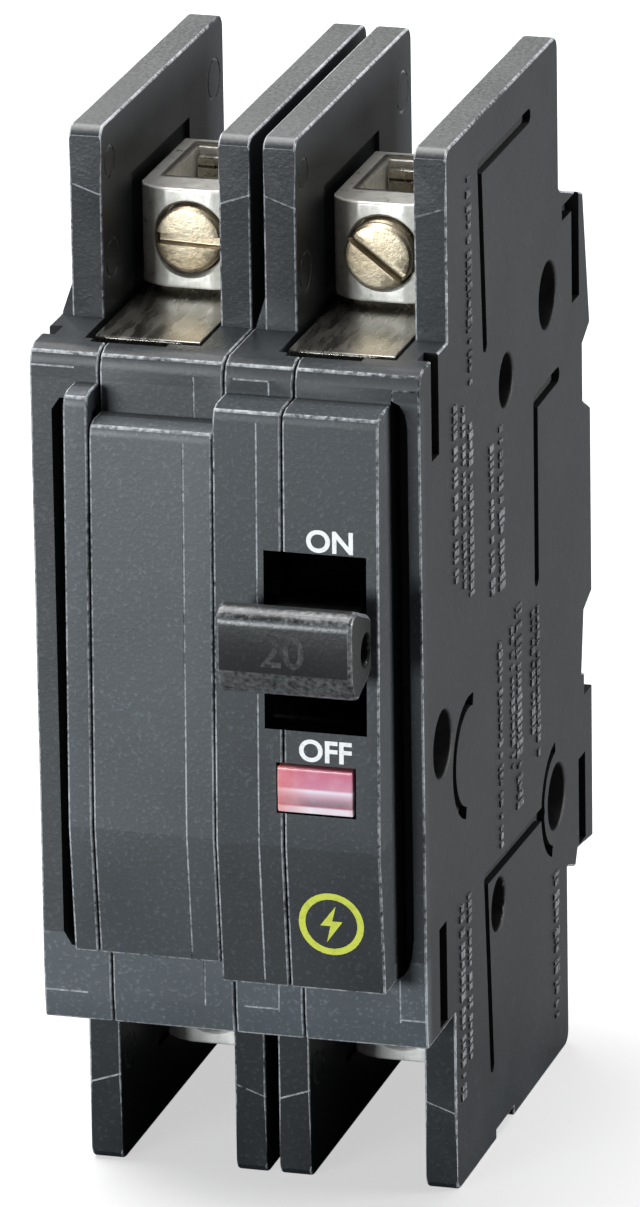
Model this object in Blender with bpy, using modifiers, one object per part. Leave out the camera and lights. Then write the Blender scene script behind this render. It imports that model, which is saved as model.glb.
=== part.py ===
"""Two-pole unit-mount circuit breaker with box lugs, modelled in its tripped state.

+Z is up, -Y is the handle side, and the origin is at the middle of the base, so the breaker stands
on the lower ends of its four barrier ears. Lengths are millimetres until a mesh is made.
"""

import math

import bmesh
import bpy
from mathutils import Matrix

MM = 0.001

# --- driving dimensions, mm -------------------------------------------------------------------
POLE_PITCH = 19.05
HEIGHT = 104.6
HALF_DEPTH = 37.9
GAP = 0.3                       # clearance left between touching pieces

POLES = {"left": -POLE_PITCH, "right": 0.0}   # X of each pole's left face
SEAM = 6.85                     # from a pole's left face to the joint of cover and base
EAR_A = (1.2, 4.38)             # the cover's barrier ear, across the pole
EAR_B = (15.87, 19.05)          # the base's barrier ear
CHAMBER = (4.38, 15.87)         # terminal chamber between the two ears
CHAMBER_MIDDLE = 10.13
OUTER_WALL = 1.6
INNER_WALL = 1.85

EAR_FRONT = -14.0
UPPER_EAR_BACK = 26.5
LOWER_EAR_BACK = 27.7
EAR_CORNER = 1.3
SHELF = 85.9                    # top of the body in front of the lugs
CHAMBER_FLOOR = 84.6
BODY_BOTTOM = 18.4
LOWER_CEILING = 19.9
STEP_FRONT = -24.0              # the body's front above, below and beside the nose
BACK_PAD = (44.1, 63.2)         # the flat back between the rail grooves
RAIL_SEAT = 35.0
NOSE_CREASE = 40.0

CAVITY = {"y": (-19.2, 30.6), "z": (21.5, 82.4)}
NOSE_CAVITY_Y = (-26.2, -18.0)

# per pole: the nose across the pole, its front at top, crease and bottom, and its ends in Z
NOSE = {
    "left": {"x": (4.4, 18.9), "front": (-27.8, -29.0, -27.8), "bottom": 27.0,
             "cover_top": 82.7, "base_top": 80.0, "hollow": (5.9, 17.2)},
    "right": {"x": (0.15, 16.25), "front": (-28.4, -29.7, -28.4), "bottom": 25.4,
              "cover_top": 82.7, "base_top": 82.7, "hollow": (1.6, 14.8)},
}
CHANNEL = {"left": (2.1, 4.4), "right": (16.25, 17.85)}   # recess beside the nose

WINDOW = {"x": (5.05, 15.05), "z": (51.6, 69.1)}
LENS = {"x": (6.35, 13.75), "y": (-29.9, -27.4), "z": (43.6, 48.1)}
LENS_CLEARANCE = 0.25
FLAG = {"x": (6.8, 13.3), "y": (-26.0, -25.2), "z": (41.4, 49.6)}

# Y and Z of the five through rivets, and the radius of the hole over each head
RIVETS = ((22.2, 79.5, 3.3), (6.7, 75.7, 2.6), (23.9, 27.2, 3.3), (2.0, 23.8, 2.6), (-17.3, 47.0, 3.25))
RIVET_SHANK = 1.6               # radius
RIVET_END = 16.9                # how far a rivet reaches from the middle
HOLE_DEPTH = 3.6                # from an outer face down past the rivet head

# --- terminals ----------------------------------------------------------------------------------
LUG_HALF_WIDTH = 5.3
LUG_DEPTH = 16.6
LUG_CHAMFER = (3.0, 1.8)
LUG_FRONT_WALL = 4.2
LUG_BACK_WALL = 1.4
LUG_OPENING_HALF = 3.5
LUG_SCREW = 3.3                 # radius
LUG_COUNTERBORE = (4.1, 0.7)    # radius and depth
SCREW_SLOT = (1.1, 1.2)         # width and depth
# per end: lug front, lug bottom and top
LUG_PLACE = {"line": (-5.0, 86.4, 96.3), "load": (-2.0, 8.2, 18.1)}
SCREW_PROUD = {"line_left": 0.5, "line_right": 1.6, "load_left": 0.8, "load_right": 0.8}
SCREW_TURN = {"line_left": 2.0, "line_right": 38.0, "load_left": 24.0, "load_right": -31.0}
STRAP = 1.2                     # thickness of the terminal straps
STRAP_HALF_WIDTH = 5.2
STRAP_TONGUE_HALF = 3.2

# --- joint axes, Y and Z ------------------------------------------------------------------------
HANDLE_AXIS = (-15.0, 61.2)
ARM_AXIS = (4.0, 46.0)
CRADLE_AXIS = (0.0, 63.0)
ARMATURE_AXIS = (22.8, 66.0)
TRIP_BAR_AXIS = (28.0, 68.0)
ARM_OPEN_DEG = -12.0            # the arms stand open by this much when the breaker is tripped

HANDLE_BAR = {"x": (2.9, 16.1), "front": -HALF_DEPTH, "back": -30.9}
HANDLE_HUB = {"x": (5.6, 14.5), "radius": 6.8, "bore": 2.1}
HANDLE_SKIRT = (10.1, 11.2, 48.0)   # inner and outer radius, half angle
HANDLE_STEM_HALF = 2.4
TIE_HOLE = (-33.0, 61.5, 1.5)
SHAFT_RADIUS = 1.8
SHAFT_LEFT_END = -14.0
TRIP_BAR_RADIUS = 2.0
ARM_PIN_RADIUS = 1.3
CONTACT_HEIGHT = 68.5

CLIP_SLOT = (7.7, 15.3)         # across a pole, the slot in the base's back for the rail clips
CLIP_WIDTH = (8.0, 15.0)
CLIP_SLOT_FLOOR = 32.6
CLIP_SLOT_HEIGHT = {"upper": (70.5, 84.4), "lower": (16.0, 36.9)}

# Curve axes x, y, z become world Y, Z, X.
SIDEWAYS = Matrix(((0, 0, 1, 0), (1, 0, 0, 0), (0, 1, 0, 0), (0, 0, 0, 1)))
UPRIGHT = Matrix.Identity(4)
ALONG_X = Matrix.Rotation(math.radians(90), 4, "Y")
ALONG_Y = Matrix.Rotation(math.radians(-90), 4, "X")

PARTS = "two_pole_breaker"
CUTTERS = "cutters"

# name: colour, roughness, metallic
FINISHES = {
    "case_black": ((0.030, 0.031, 0.034, 1), 0.42, 0.0),
    "handle_black": ((0.022, 0.023, 0.025, 1), 0.36, 0.0),
    "lens_red": ((0.75, 0.12, 0.14, 1), 0.12, 0.0),
    "flag_red": ((0.80, 0.05, 0.04, 1), 0.45, 0.0),
    "lug_tin": ((0.72, 0.71, 0.67, 1), 0.30, 1.0),
    "screw_plate": ((0.72, 0.66, 0.50, 1), 0.30, 1.0),
    "copper": ((0.80, 0.42, 0.28, 1), 0.30, 1.0),
    "silver": ((0.85, 0.84, 0.80, 1), 0.25, 1.0),
    "steel": ((0.55, 0.55, 0.55, 1), 0.38, 1.0),
    "trip_plastic": ((0.62, 0.60, 0.52, 1), 0.50, 0.0),
}


# --- scene helpers ------------------------------------------------------------------------------
def clear_scene():
    for obj in list(bpy.data.objects):
        bpy.data.objects.remove(obj, do_unlink=True)


def make_collections():
    for name in (PARTS, CUTTERS):
        collection = bpy.data.collections.new(name)
        bpy.context.scene.collection.children.link(collection)


def make_finishes():
    for name, (colour, roughness, metallic) in FINISHES.items():
        material = bpy.data.materials.new(name)
        material.use_nodes = True
        shader = material.node_tree.nodes["Principled BSDF"]
        shader.inputs["Base Color"].default_value = colour
        shader.inputs["Roughness"].default_value = roughness
        shader.inputs["Metallic"].default_value = metallic


def add_object(name, mesh, matrix):
    obj = bpy.data.objects.new(name, mesh)
    bpy.data.collections[PARTS].objects.link(obj)
    obj.matrix_world = matrix
    return obj


def finish(obj, name):
    obj.data.materials.append(bpy.data.materials[name])
    return obj


def weld(mesh):
    bm = bmesh.new()
    bm.from_mesh(mesh)
    bmesh.ops.remove_doubles(bm, verts=bm.verts, dist=0.001 * MM)
    bmesh.ops.recalc_face_normals(bm, faces=bm.faces)
    bm.to_mesh(mesh)
    bm.free()


def curve_to_mesh(name, curve, matrix):
    """Makes the curve a welded mesh object with the same name and place."""
    guide = add_object(name, curve, matrix)
    bpy.context.view_layer.update()
    graph = bpy.context.evaluated_depsgraph_get()
    mesh = bpy.data.meshes.new_from_object(guide.evaluated_get(graph))
    bpy.data.objects.remove(guide, do_unlink=True)
    bpy.data.curves.remove(curve)
    weld(mesh)
    return add_object(name, mesh, matrix)


def plate(name, outline, low, high, turn=SIDEWAYS):
    """A flat outline given thickness from low to high, across X or, when upright, along Z."""
    curve = bpy.data.curves.new(name, "CURVE")
    curve.dimensions = "2D"
    curve.fill_mode = "BOTH"
    curve.extrude = (high - low) / 2 * MM
    spline = curve.splines.new("POLY")
    spline.points.add(len(outline) - 1)
    for point, (first, second) in zip(spline.points, outline):
        point.co = (first * MM, second * MM, 0, 1)
    spline.use_cyclic_u = True
    middle = Matrix.Translation((0, 0, (low + high) / 2 * MM))
    return curve_to_mesh(name, curve, turn @ middle)


def box(name, x, y, z):
    """A box between two limits on each axis."""
    bm = bmesh.new()
    bmesh.ops.create_cube(bm, size=1.0)
    size = [(high - low) * MM for low, high in (x, y, z)]
    bmesh.ops.scale(bm, vec=size, verts=bm.verts)
    mesh = bpy.data.meshes.new(name)
    bm.to_mesh(mesh)
    bm.free()
    centre = [(low + high) / 2 * MM for low, high in (x, y, z)]
    return add_object(name, mesh, Matrix.Translation(centre))


def rod(name, radius, centre, length, turn=ALONG_X, segments=16):
    """A cylinder of a length, about its centre."""
    bm = bmesh.new()
    bmesh.ops.create_cone(bm, cap_ends=True, segments=segments, radius1=radius * MM,
                          radius2=radius * MM, depth=length * MM)
    mesh = bpy.data.meshes.new(name)
    bm.to_mesh(mesh)
    bm.free()
    place = Matrix.Translation([value * MM for value in centre])
    return add_object(name, mesh, place @ turn)


def turned(name, profile, place, turn, steps=16):
    """A solid of revolution. The profile holds (radius, height) from the top of its axis down."""
    mesh = bpy.data.meshes.new(name)
    points = [(radius * MM, 0, height * MM) for radius, height in profile]
    mesh.from_pydata(points, [(i, i + 1) for i in range(len(points) - 1)], [])
    obj = add_object(name, mesh, Matrix.Translation([value * MM for value in place]) @ turn)
    screw = obj.modifiers.new("turn", "SCREW")
    screw.steps = steps
    screw.render_steps = steps
    screw.use_merge_vertices = True
    screw.merge_threshold = 0.000001
    return obj


def wire(name, points, radius, resolution=2):
    """A round wire through the points, with closed ends."""
    curve = bpy.data.curves.new(name, "CURVE")
    curve.dimensions = "3D"
    curve.bevel_depth = radius * MM
    curve.bevel_resolution = resolution
    curve.use_fill_caps = True
    spline = curve.splines.new("POLY")
    spline.points.add(len(points) - 1)
    for point, place in zip(spline.points, points):
        point.co = (*[value * MM for value in place], 1)
    return curve_to_mesh(name, curve, UPRIGHT)


def combine(target, tool, operation):
    """Adds a live Boolean and puts the tool away with the cutters."""
    bpy.data.collections[PARTS].objects.unlink(tool)
    bpy.data.collections[CUTTERS].objects.link(tool)
    tool.hide_render = True
    tool.display_type = "WIRE"
    modifier = target.modifiers.new(tool.name, "BOOLEAN")
    modifier.operation = operation
    modifier.object = tool
    if target.parent:
        hang(tool, target.parent)


def cut(target, tool):
    combine(target, tool, "DIFFERENCE")


def join(target, tool):
    combine(target, tool, "UNION")


def add_pivot(name, x, axis):
    empty = bpy.data.objects.new(name, None)
    bpy.data.collections[PARTS].objects.link(empty)
    empty.location = (x * MM, axis[0] * MM, axis[1] * MM)
    bpy.context.view_layer.update()
    return empty


def hang(obj, pivot):
    """Parents the object to a pivot and keeps it in place."""
    obj.parent = pivot
    obj.matrix_parent_inverse = pivot.matrix_basis.inverted()
    return obj


def arc(centre, radius, start, end, count):
    """Points of an arc in the outline's plane, angles in degrees."""
    steps = [start + (end - start) * i / (count - 1) for i in range(count)]
    return [(centre[0] + radius * math.cos(math.radians(a)),
             centre[1] + radius * math.sin(math.radians(a))) for a in steps]


# --- case ---------------------------------------------------------------------------------------
def body_outline():
    """Side view of the body without its nose and ears, from the front bottom edge round the back."""
    return [
        (STEP_FRONT, BODY_BOTTOM), (28.0, BODY_BOTTOM), (30.9, 17.4), (31.8, 19.0),
        (37.6, 18.3), (37.7, 35.2), (33.8, 36.8), (34.8, 43.0),
        (HALF_DEPTH, BACK_PAD[0]), (HALF_DEPTH, BACK_PAD[1]), (RAIL_SEAT, 64.8), (RAIL_SEAT, 70.6),
        (HALF_DEPTH, 72.0), (35.6, 86.0), (27.0, 88.7), (UPPER_EAR_BACK, 89.2),
        (16.5, 89.2), (16.5, SHELF), (STEP_FRONT + 1.4, SHELF), (STEP_FRONT, SHELF - 1.5),
    ]


def nose_outline(front, bottom, top):
    at_top, at_crease, at_bottom = front
    return [(-20.0, bottom), (at_bottom, bottom), (at_crease, NOSE_CREASE),
            (at_top, top - 1.0), (at_top + 1.0, top), (-20.0, top)]


def upper_ear_outline():
    return [(EAR_FRONT, 84.0), (UPPER_EAR_BACK, 84.0), (UPPER_EAR_BACK, HEIGHT - EAR_CORNER),
            (UPPER_EAR_BACK - EAR_CORNER, HEIGHT), (EAR_FRONT + EAR_CORNER, HEIGHT),
            (EAR_FRONT, HEIGHT - EAR_CORNER)]


def lower_ear_outline():
    """The lower ear has a shallow notch in its foot."""
    return [(EAR_FRONT, 20.0), (EAR_FRONT, EAR_CORNER), (EAR_FRONT + EAR_CORNER, 0), (0.4, 0),
            (0.4, 0.9), (6.8, 0.9), (6.8, 0), (LOWER_EAR_BACK - EAR_CORNER, 0),
            (LOWER_EAR_BACK, EAR_CORNER), (LOWER_EAR_BACK, 20.0)]


def span(side, low, high):
    """Limits across a pole as X limits."""
    return (POLES[side] + low, POLES[side] + high)


def case_limits(side, half):
    """How far a half reaches across its pole. Neighbouring halves keep the gap."""
    if half == "cover":
        return (0.0 if side == "left" else GAP / 2, SEAM - GAP / 2)
    return (SEAM + GAP / 2, POLE_PITCH - GAP / 2 if side == "left" else POLE_PITCH)


def shell_body(side, half):
    """Body, nose and two ears of one half, as one solid."""
    name = f"{side}_pole_{half}"
    low, high = case_limits(side, half)
    nose = NOSE[side]
    shell = finish(plate(name, body_outline(), *span(side, low, high)), "case_black")
    nose_x = span(side, max(low, nose["x"][0]), min(high, nose["x"][1]))
    outline = nose_outline(nose["front"], nose["bottom"], nose[half + "_top"])
    join(shell, plate(name + "_nose", outline, *nose_x))
    ear_low, ear_high = EAR_A if half == "cover" else EAR_B
    ear_x = span(side, ear_low, min(ear_high, high))
    join(shell, plate(name + "_upper_ear", upper_ear_outline(), *ear_x))
    join(shell, plate(name + "_lower_ear", lower_ear_outline(), *ear_x))
    return shell


def hollow_out(shell, side, half):
    """The mechanism's cavity, open at the seam."""
    low, high = (OUTER_WALL, SEAM + 1) if half == "cover" else (SEAM - 1, POLE_PITCH - INNER_WALL)
    cut(shell, box(shell.name + "_cavity", span(side, low, high), CAVITY["y"], CAVITY["z"]))
    nose = NOSE[side]
    low, high = max(low, nose["hollow"][0]), min(high, nose["hollow"][1])
    nose_z = (nose["bottom"] + 2.2, nose[half + "_top"] - 2.2)
    cut(shell, box(shell.name + "_nose_cavity", span(side, low, high), NOSE_CAVITY_Y, nose_z))


def cut_terminal_slots(shell, side):
    """Chamber floors and the slots through which the terminal straps pass."""
    name = shell.name
    chamber = span(side, *CHAMBER)
    cut(shell, box(name + "_floor", chamber, (-20.4, 16.5), (CHAMBER_FLOOR, 87.0)))
    cut(shell, box(name + "_ceiling", chamber, (-16.0, 18.4), (17.0, LOWER_CEILING)))
    middle = CHAMBER_MIDDLE
    wide = span(side, middle - STRAP_HALF_WIDTH - GAP, middle + STRAP_HALF_WIDTH + GAP)
    cut(shell, box(name + "_line_slot", wide, (-20.1, -18.1), (79.2, 86.5)))
    narrow = span(side, middle - STRAP_TONGUE_HALF - GAP, middle + STRAP_TONGUE_HALF + GAP)
    cut(shell, box(name + "_load_slot", narrow, (16.2, 18.0), (19.0, 23.0)))


def cut_wall_holes(shell, side, half):
    """Rivet holes in the outer walls, and rivet, shaft and trip bar holes between the poles."""
    outer = (side, half) in (("left", "cover"), ("right", "base"))
    wall_x = (-POLE_PITCH if side == "left" else POLE_PITCH) if outer else 0.0
    length = 2 * (HOLE_DEPTH if outer else 2.2)
    inner = (side, half) in (("left", "base"), ("right", "cover"))
    for number, (y, z, hole) in enumerate(RIVETS, start=1):
        radius = hole if outer else RIVET_SHANK + GAP
        cut(shell, rod(f"{shell.name}_rivet_hole_{number}", radius, (wall_x, y, z), length, segments=20))
    if inner:
        holes = ((HANDLE_AXIS, SHAFT_RADIUS + GAP), (TRIP_BAR_AXIS, TRIP_BAR_RADIUS + GAP))
        for number, ((y, z), radius) in enumerate(holes, start=1):
            cut(shell, rod(f"{shell.name}_shaft_hole_{number}", radius, (0, y, z), length))


def cut_front_openings(shell):
    """Handle window and lens opening, both in the right pole."""
    front = (-33.0, -25.0)
    cut(shell, box(shell.name + "_window", WINDOW["x"], front, WINDOW["z"]))
    lens_x, lens_z = [(low - LENS_CLEARANCE, high + LENS_CLEARANCE) for low, high in (LENS["x"], LENS["z"])]
    cut(shell, box(shell.name + "_lens_opening", lens_x, front, lens_z))


def make_case():
    for side in POLES:
        for half in ("cover", "base"):
            shell = shell_body(side, half)
            if (side, half) in (("left", "cover"), ("right", "base")):
                recess = span(side, *CHANNEL[side])
                cut(shell, box(shell.name + "_channel", recess, (-25.0, -21.0), (26.0, 81.0)))
            hollow_out(shell, side, half)
            cut_terminal_slots(shell, side)
            cut_wall_holes(shell, side, half)
            if side == "right":
                cut_front_openings(shell)
            if half == "base":
                slot = span(side, *CLIP_SLOT)
                for end, height in CLIP_SLOT_HEIGHT.items():
                    cutter = box(f"{shell.name}_{end}_clip_slot", slot, (CLIP_SLOT_FLOOR, 39.0), height)
                    cut(shell, cutter)


def make_lens():
    lens = finish(box("indicator_lens", LENS["x"], LENS["y"], LENS["z"]), "lens_red")
    rounding = lens.modifiers.new("edges", "BEVEL")
    rounding.width = 0.35 * MM
    rounding.segments = 2


def make_flag():
    """The red flag behind the lens, which drops out of sight when the breaker is reset."""
    (low, high), (bottom, top) = FLAG["y"], FLAG["z"]
    outline = [(low, bottom), (high, bottom), (high, top), (low, top)]
    finish(plate("trip_flag", outline, *FLAG["x"]), "flag_red")


# --- handle -------------------------------------------------------------------------------------
def handle_bar_outline():
    front, back = HANDLE_BAR["front"], HANDLE_BAR["back"]
    return [(back, 59.2), (back - 0.8, 58.6), (front + 2.0, 57.4), (front + 0.6, 58.0),
            (front, 60.0), (front, 64.8), (front + 0.8, 66.2), (back - 0.8, 64.6), (back, 64.0)]


def make_handle():
    pivot = add_pivot("handle_pivot", 0, HANDLE_AXIS)
    y, z = HANDLE_AXIS
    low, high = HANDLE_HUB["x"]
    middle = (low + high) / 2
    handle = finish(plate("handle", handle_bar_outline(), *HANDLE_BAR["x"]), "handle_black")
    hang(handle, pivot)
    stem_z = (z - HANDLE_STEM_HALF, z + HANDLE_STEM_HALF)
    join(handle, box("handle_stem", (low + 0.3, high - 0.3), (HANDLE_BAR["back"] - 2, y - 4), stem_z))
    join(handle, rod("handle_hub", HANDLE_HUB["radius"], (middle, y, z), high - low, segments=24))
    inner, outer, half = HANDLE_SKIRT
    skirt = arc(HANDLE_AXIS, outer, 180 - half, 180 + half, 13)
    skirt += arc(HANDLE_AXIS, inner, 180 + half, 180 - half, 13)
    join(handle, plate("handle_skirt", skirt, low + 0.1, high - 0.1))
    cut(handle, rod("handle_bore", HANDLE_HUB["bore"], (middle, y, z), 12))
    cut(handle, rod("handle_tie_hole", TIE_HOLE[2], (middle, TIE_HOLE[0], TIE_HOLE[1]), 20, segments=20))
    make_handle_shaft(pivot)


def make_handle_shaft(pivot):
    """The shaft carries the handle's turn through the wall to a crank in the left pole."""
    y, z = HANDLE_AXIS
    low, high = SHAFT_LEFT_END, POLE_PITCH - INNER_WALL - GAP
    shaft = rod("handle_shaft", SHAFT_RADIUS, ((low + high) / 2, y, z), high - low)
    hang(finish(shaft, "steel"), pivot)
    crank = [(y - 4.0, z - 3.0), (y - 4.0, z + 3.0), (y, z + 4.6), (y + 5.4, z + 1.8),
             (y + 5.4, z - 1.8), (y, z - 4.6)]
    join(shaft, plate("handle_crank", crank, *span("left", 8.6, 11.6)))


# --- terminals ----------------------------------------------------------------------------------
def lug_outline(middle, front):
    half = LUG_HALF_WIDTH
    side, deep = LUG_CHAMFER
    back = front + LUG_DEPTH
    return [(middle - half + side, front), (middle + half - side, front),
            (middle + half, front + deep), (middle + half, back),
            (middle - half, back), (middle - half, front + deep)]


def make_lug(end, side):
    front, bottom, top = LUG_PLACE[end]
    middle = POLES[side] + CHAMBER_MIDDLE
    height = (bottom + top) / 2
    name = f"{end}_lug_{side}"
    lug = finish(plate(name, lug_outline(middle, front), bottom, top, turn=UPRIGHT), "lug_tin")
    way = (middle - LUG_OPENING_HALF, middle + LUG_OPENING_HALF)
    deep = (front + LUG_FRONT_WALL, front + LUG_DEPTH - LUG_BACK_WALL)
    cut(lug, box(name + "_way", way, deep, (bottom - 1, top + 1)))
    hole = (middle, front + 2, height)
    cut(lug, rod(name + "_screw_hole", LUG_SCREW + GAP, hole, 6, turn=ALONG_Y, segments=24))
    radius, depth = LUG_COUNTERBORE
    place = (middle, front, height)
    cut(lug, rod(name + "_counterbore", radius, place, 2 * depth, turn=ALONG_Y, segments=24))
    make_lug_screw(end, side, place)


def make_lug_screw(end, side, place):
    """A slotted clamping screw along Y, its head towards the front."""
    middle, front, height = place
    key = f"{end}_{side}"
    pivot = add_pivot(f"{key}_screw_axis", middle, (front, height))
    head = front - SCREW_PROUD[key]
    tip = front + LUG_FRONT_WALL + 1.0
    profile = [(0, tip), (LUG_SCREW - 0.6, tip), (LUG_SCREW, tip - 0.6), (LUG_SCREW, head + 0.3),
               (LUG_SCREW - 0.3, head), (0, head)]
    screw = turned(f"{end}_lug_screw_{side}", profile, (middle, 0, height), ALONG_Y, steps=24)
    hang(finish(screw, "screw_plate"), pivot)
    width, depth = SCREW_SLOT
    reach = LUG_SCREW + 1
    slot = box(f"{key}_screw_slot", (middle - reach, middle + reach), (head - 1, head + depth),
               (height - width / 2, height + width / 2))
    cut(screw, slot)
    pivot.rotation_euler.y = math.radians(SCREW_TURN[key])


def make_line_strap(side):
    """From the lug over the shelf, down through the slot and back to the fixed contact."""
    top, bottom = 86.1, 86.1 - STRAP
    outline = [(9.8, bottom), (9.8, top), (-19.7, top), (-19.7, 79.6), (-8.2, 79.6),
               (-8.2, 65.0), (-7.0, 65.0), (-7.0, 80.8), (-18.5, 80.8), (-18.5, bottom)]
    middle = CHAMBER_MIDDLE
    wide = span(side, middle - STRAP_HALF_WIDTH, middle + STRAP_HALF_WIDTH)
    strap = finish(plate(f"line_strap_{side}", outline, *wide), "lug_tin")
    tongue = span(side, middle - STRAP_TONGUE_HALF, middle + STRAP_TONGUE_HALF)
    join(strap, box(f"line_tongue_{side}", tongue, (9.8 - STRAP, 9.8), (85.5, 95.4)))


def make_load_strap(side):
    """From the lug along the ceiling, up through its slot and back to the bimetal."""
    low = LOWER_CEILING - GAP - STRAP
    high = LOWER_CEILING - GAP
    inside = [(16.5, low), (17.7, low), (17.7, 33.0), (26.5, 33.0), (26.5, 34.2), (16.5, 34.2)]
    middle = CHAMBER_MIDDLE
    tongue = span(side, middle - STRAP_TONGUE_HALF, middle + STRAP_TONGUE_HALF)
    strap = finish(plate(f"load_strap_{side}", inside, *tongue), "lug_tin")
    wide = span(side, middle - STRAP_HALF_WIDTH, middle + STRAP_HALF_WIDTH)
    join(strap, box(f"load_shelf_{side}", wide, (-14.0, 17.7), (low, high)))
    join(strap, box(f"load_tongue_{side}", tongue, (11.6, 11.6 + STRAP), (9.2, low + 0.5)))


def make_terminals(side):
    for end in LUG_PLACE:
        make_lug(end, side)
    make_line_strap(side)
    make_load_strap(side)


# --- mechanism ----------------------------------------------------------------------------------
def make_contacts(side):
    """Fixed contact, and the arm with its contact, boss, pin and spring."""
    middle = POLES[side] + CHAMBER_MIDDLE
    disc = [(0, 1.2), (1.6, 1.2), (2.0, 0.8), (2.0, 0), (0, 0)]
    fixed = turned(f"fixed_contact_{side}", disc, (middle, -6.7, CONTACT_HEIGHT), ALONG_Y, steps=16)
    finish(fixed, "silver")

    pivot = add_pivot(f"contact_arm_pivot_{side}", middle, ARM_AXIS)
    y, z = ARM_AXIS
    lever = [(y - 3.2, 42.8), (9.4, 42.8), (9.4, 46.5), (7.0, 50.0), (-0.4, 70.4), (-3.7, 70.4),
             (-3.7, 66.6), (y - 3.8, 50.0)]
    arm = finish(plate(f"contact_arm_{side}", lever, middle - 1.2, middle + 1.2), "copper")
    hang(arm, pivot)
    join(arm, rod(f"arm_boss_{side}", 2.6, (middle, y, z), 5.2))
    cut(arm, rod(f"arm_bore_{side}", ARM_PIN_RADIUS + GAP, (middle, y, z), 8))
    moving = turned(f"moving_contact_{side}", disc, (middle, -5.2, CONTACT_HEIGHT), ALONG_Y, steps=16)
    hang(finish(moving, "silver"), pivot)
    hang(make_spring(f"contact_spring_{side}", middle), pivot)
    pivot.rotation_euler.x = math.radians(ARM_OPEN_DEG)

    low, high = span(side, OUTER_WALL + GAP, POLE_PITCH - INNER_WALL - GAP)
    place = ((low + high) / 2, y, z)
    finish(rod(f"arm_pin_{side}", ARM_PIN_RADIUS, place, high - low, segments=12), "steel")


def make_spring(name, middle):
    """A close coil behind the arm, from its back edge towards the cradle."""
    start, end = (6.0, 57.6), (13.4, 62.2)
    radius, wire_radius, turns, per_turn = 1.5, 0.3, 6, 8
    length = math.hypot(end[0] - start[0], end[1] - start[1])
    along = ((end[0] - start[0]) / length, (end[1] - start[1]) / length)
    points = []
    for i in range(turns * per_turn + 1):
        angle = 2 * math.pi * i / per_turn
        travel = length * i / (turns * per_turn)
        out = radius * math.sin(angle)
        points.append((middle + radius * math.cos(angle), start[0] + along[0] * travel - along[1] * out,
                       start[1] + along[1] * travel + along[0] * out))
    return finish(wire(name, points, wire_radius, resolution=1), "steel")


def make_cradle(side):
    """The trip lever: its far end is caught by the armature when the breaker is reset."""
    pivot = add_pivot(f"cradle_pivot_{side}", POLES[side], CRADLE_AXIS)
    y, z = CRADLE_AXIS
    outline = [(y - 3.0, z - 2.4), (y + 6.0, z - 2.4), (20.8, z - 1.6), (20.8, z + 0.4),
               (19.0, z + 0.8), (y + 6.0, z + 3.4), (y - 3.0, z + 2.4)]
    cradle = finish(plate(f"cradle_{side}", outline, *span(side, 12.9, 14.5)), "steel")
    hang(cradle, pivot)
    low, high = span(side, 12.9, POLE_PITCH - INNER_WALL - GAP)
    join(cradle, rod(f"cradle_boss_{side}", 1.5, ((low + high) / 2, y, z), high - low, segments=12))


def make_trip_unit(side):
    """Bimetal with its magnet yoke, and the armature that holds the cradle."""
    left, right = span(side, 7.4, 12.9)
    bimetal = [(27.0, 31.0), (27.8, 31.0), (27.8, 64.0), (27.0, 64.0)]
    finish(plate(f"bimetal_{side}", bimetal, left, right), "copper")
    left, right = span(side, 5.5, 14.7)
    yoke = [(left, 26.0), (left + 1.2, 26.0), (left + 1.2, 28.6), (right - 1.2, 28.6),
            (right - 1.2, 26.0), (right, 26.0), (right, 29.8), (left, 29.8)]
    finish(plate(f"magnet_yoke_{side}", yoke, 44.0, 58.0, turn=UPRIGHT), "steel")
    pivot = add_pivot(f"armature_pivot_{side}", POLES[side], ARMATURE_AXIS)
    y, z = ARMATURE_AXIS
    armature = box(f"armature_{side}", span(side, 6.6, 13.6), (y - 0.5, y + 0.5), (44.0, z + 0.6))
    hang(finish(armature, "steel"), pivot)
    window = box(f"armature_window_{side}", span(side, 8.2, 12.0), (y - 2, y + 2), (52.0, 60.0))
    cut(armature, window)


def make_braid(side):
    """Flexible copper lead from the arm's tail to the bimetal."""
    route = [(8.3, 8.0, 44.4), (6.4, 8.6, 43.8), (4.6, 10.4, 42.6), (3.8, 13.6, 41.2),
             (3.6, 17.4, 40.0), (3.9, 21.2, 39.2), (4.8, 24.6, 38.7), (5.9, 26.7, 38.5), (7.0, 27.4, 38.5)]
    points = [(POLES[side] + x, y, z) for x, y, z in route]
    finish(wire(f"braid_{side}", points, 1.0), "copper")


def make_arc_chute(side):
    """A comb of steel plates in front of the fixed contact."""
    front, spine, back = -17.4, -10.0, -9.2
    bottom, top, count, thick = 73.6, 79.2, 4, 0.8
    pitch = (top - bottom - thick) / (count - 1)
    outline = [(back, top)]
    for i in reversed(range(count)):
        low = bottom + i * pitch
        outline += [(front, low + thick), (front, low)]
        if i:
            outline += [(spine, low), (spine, low - pitch + thick)]
    outline.append((back, bottom))
    finish(plate(f"arc_chute_{side}", outline, *span(side, 5.2, 15.0)), "steel")


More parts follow.
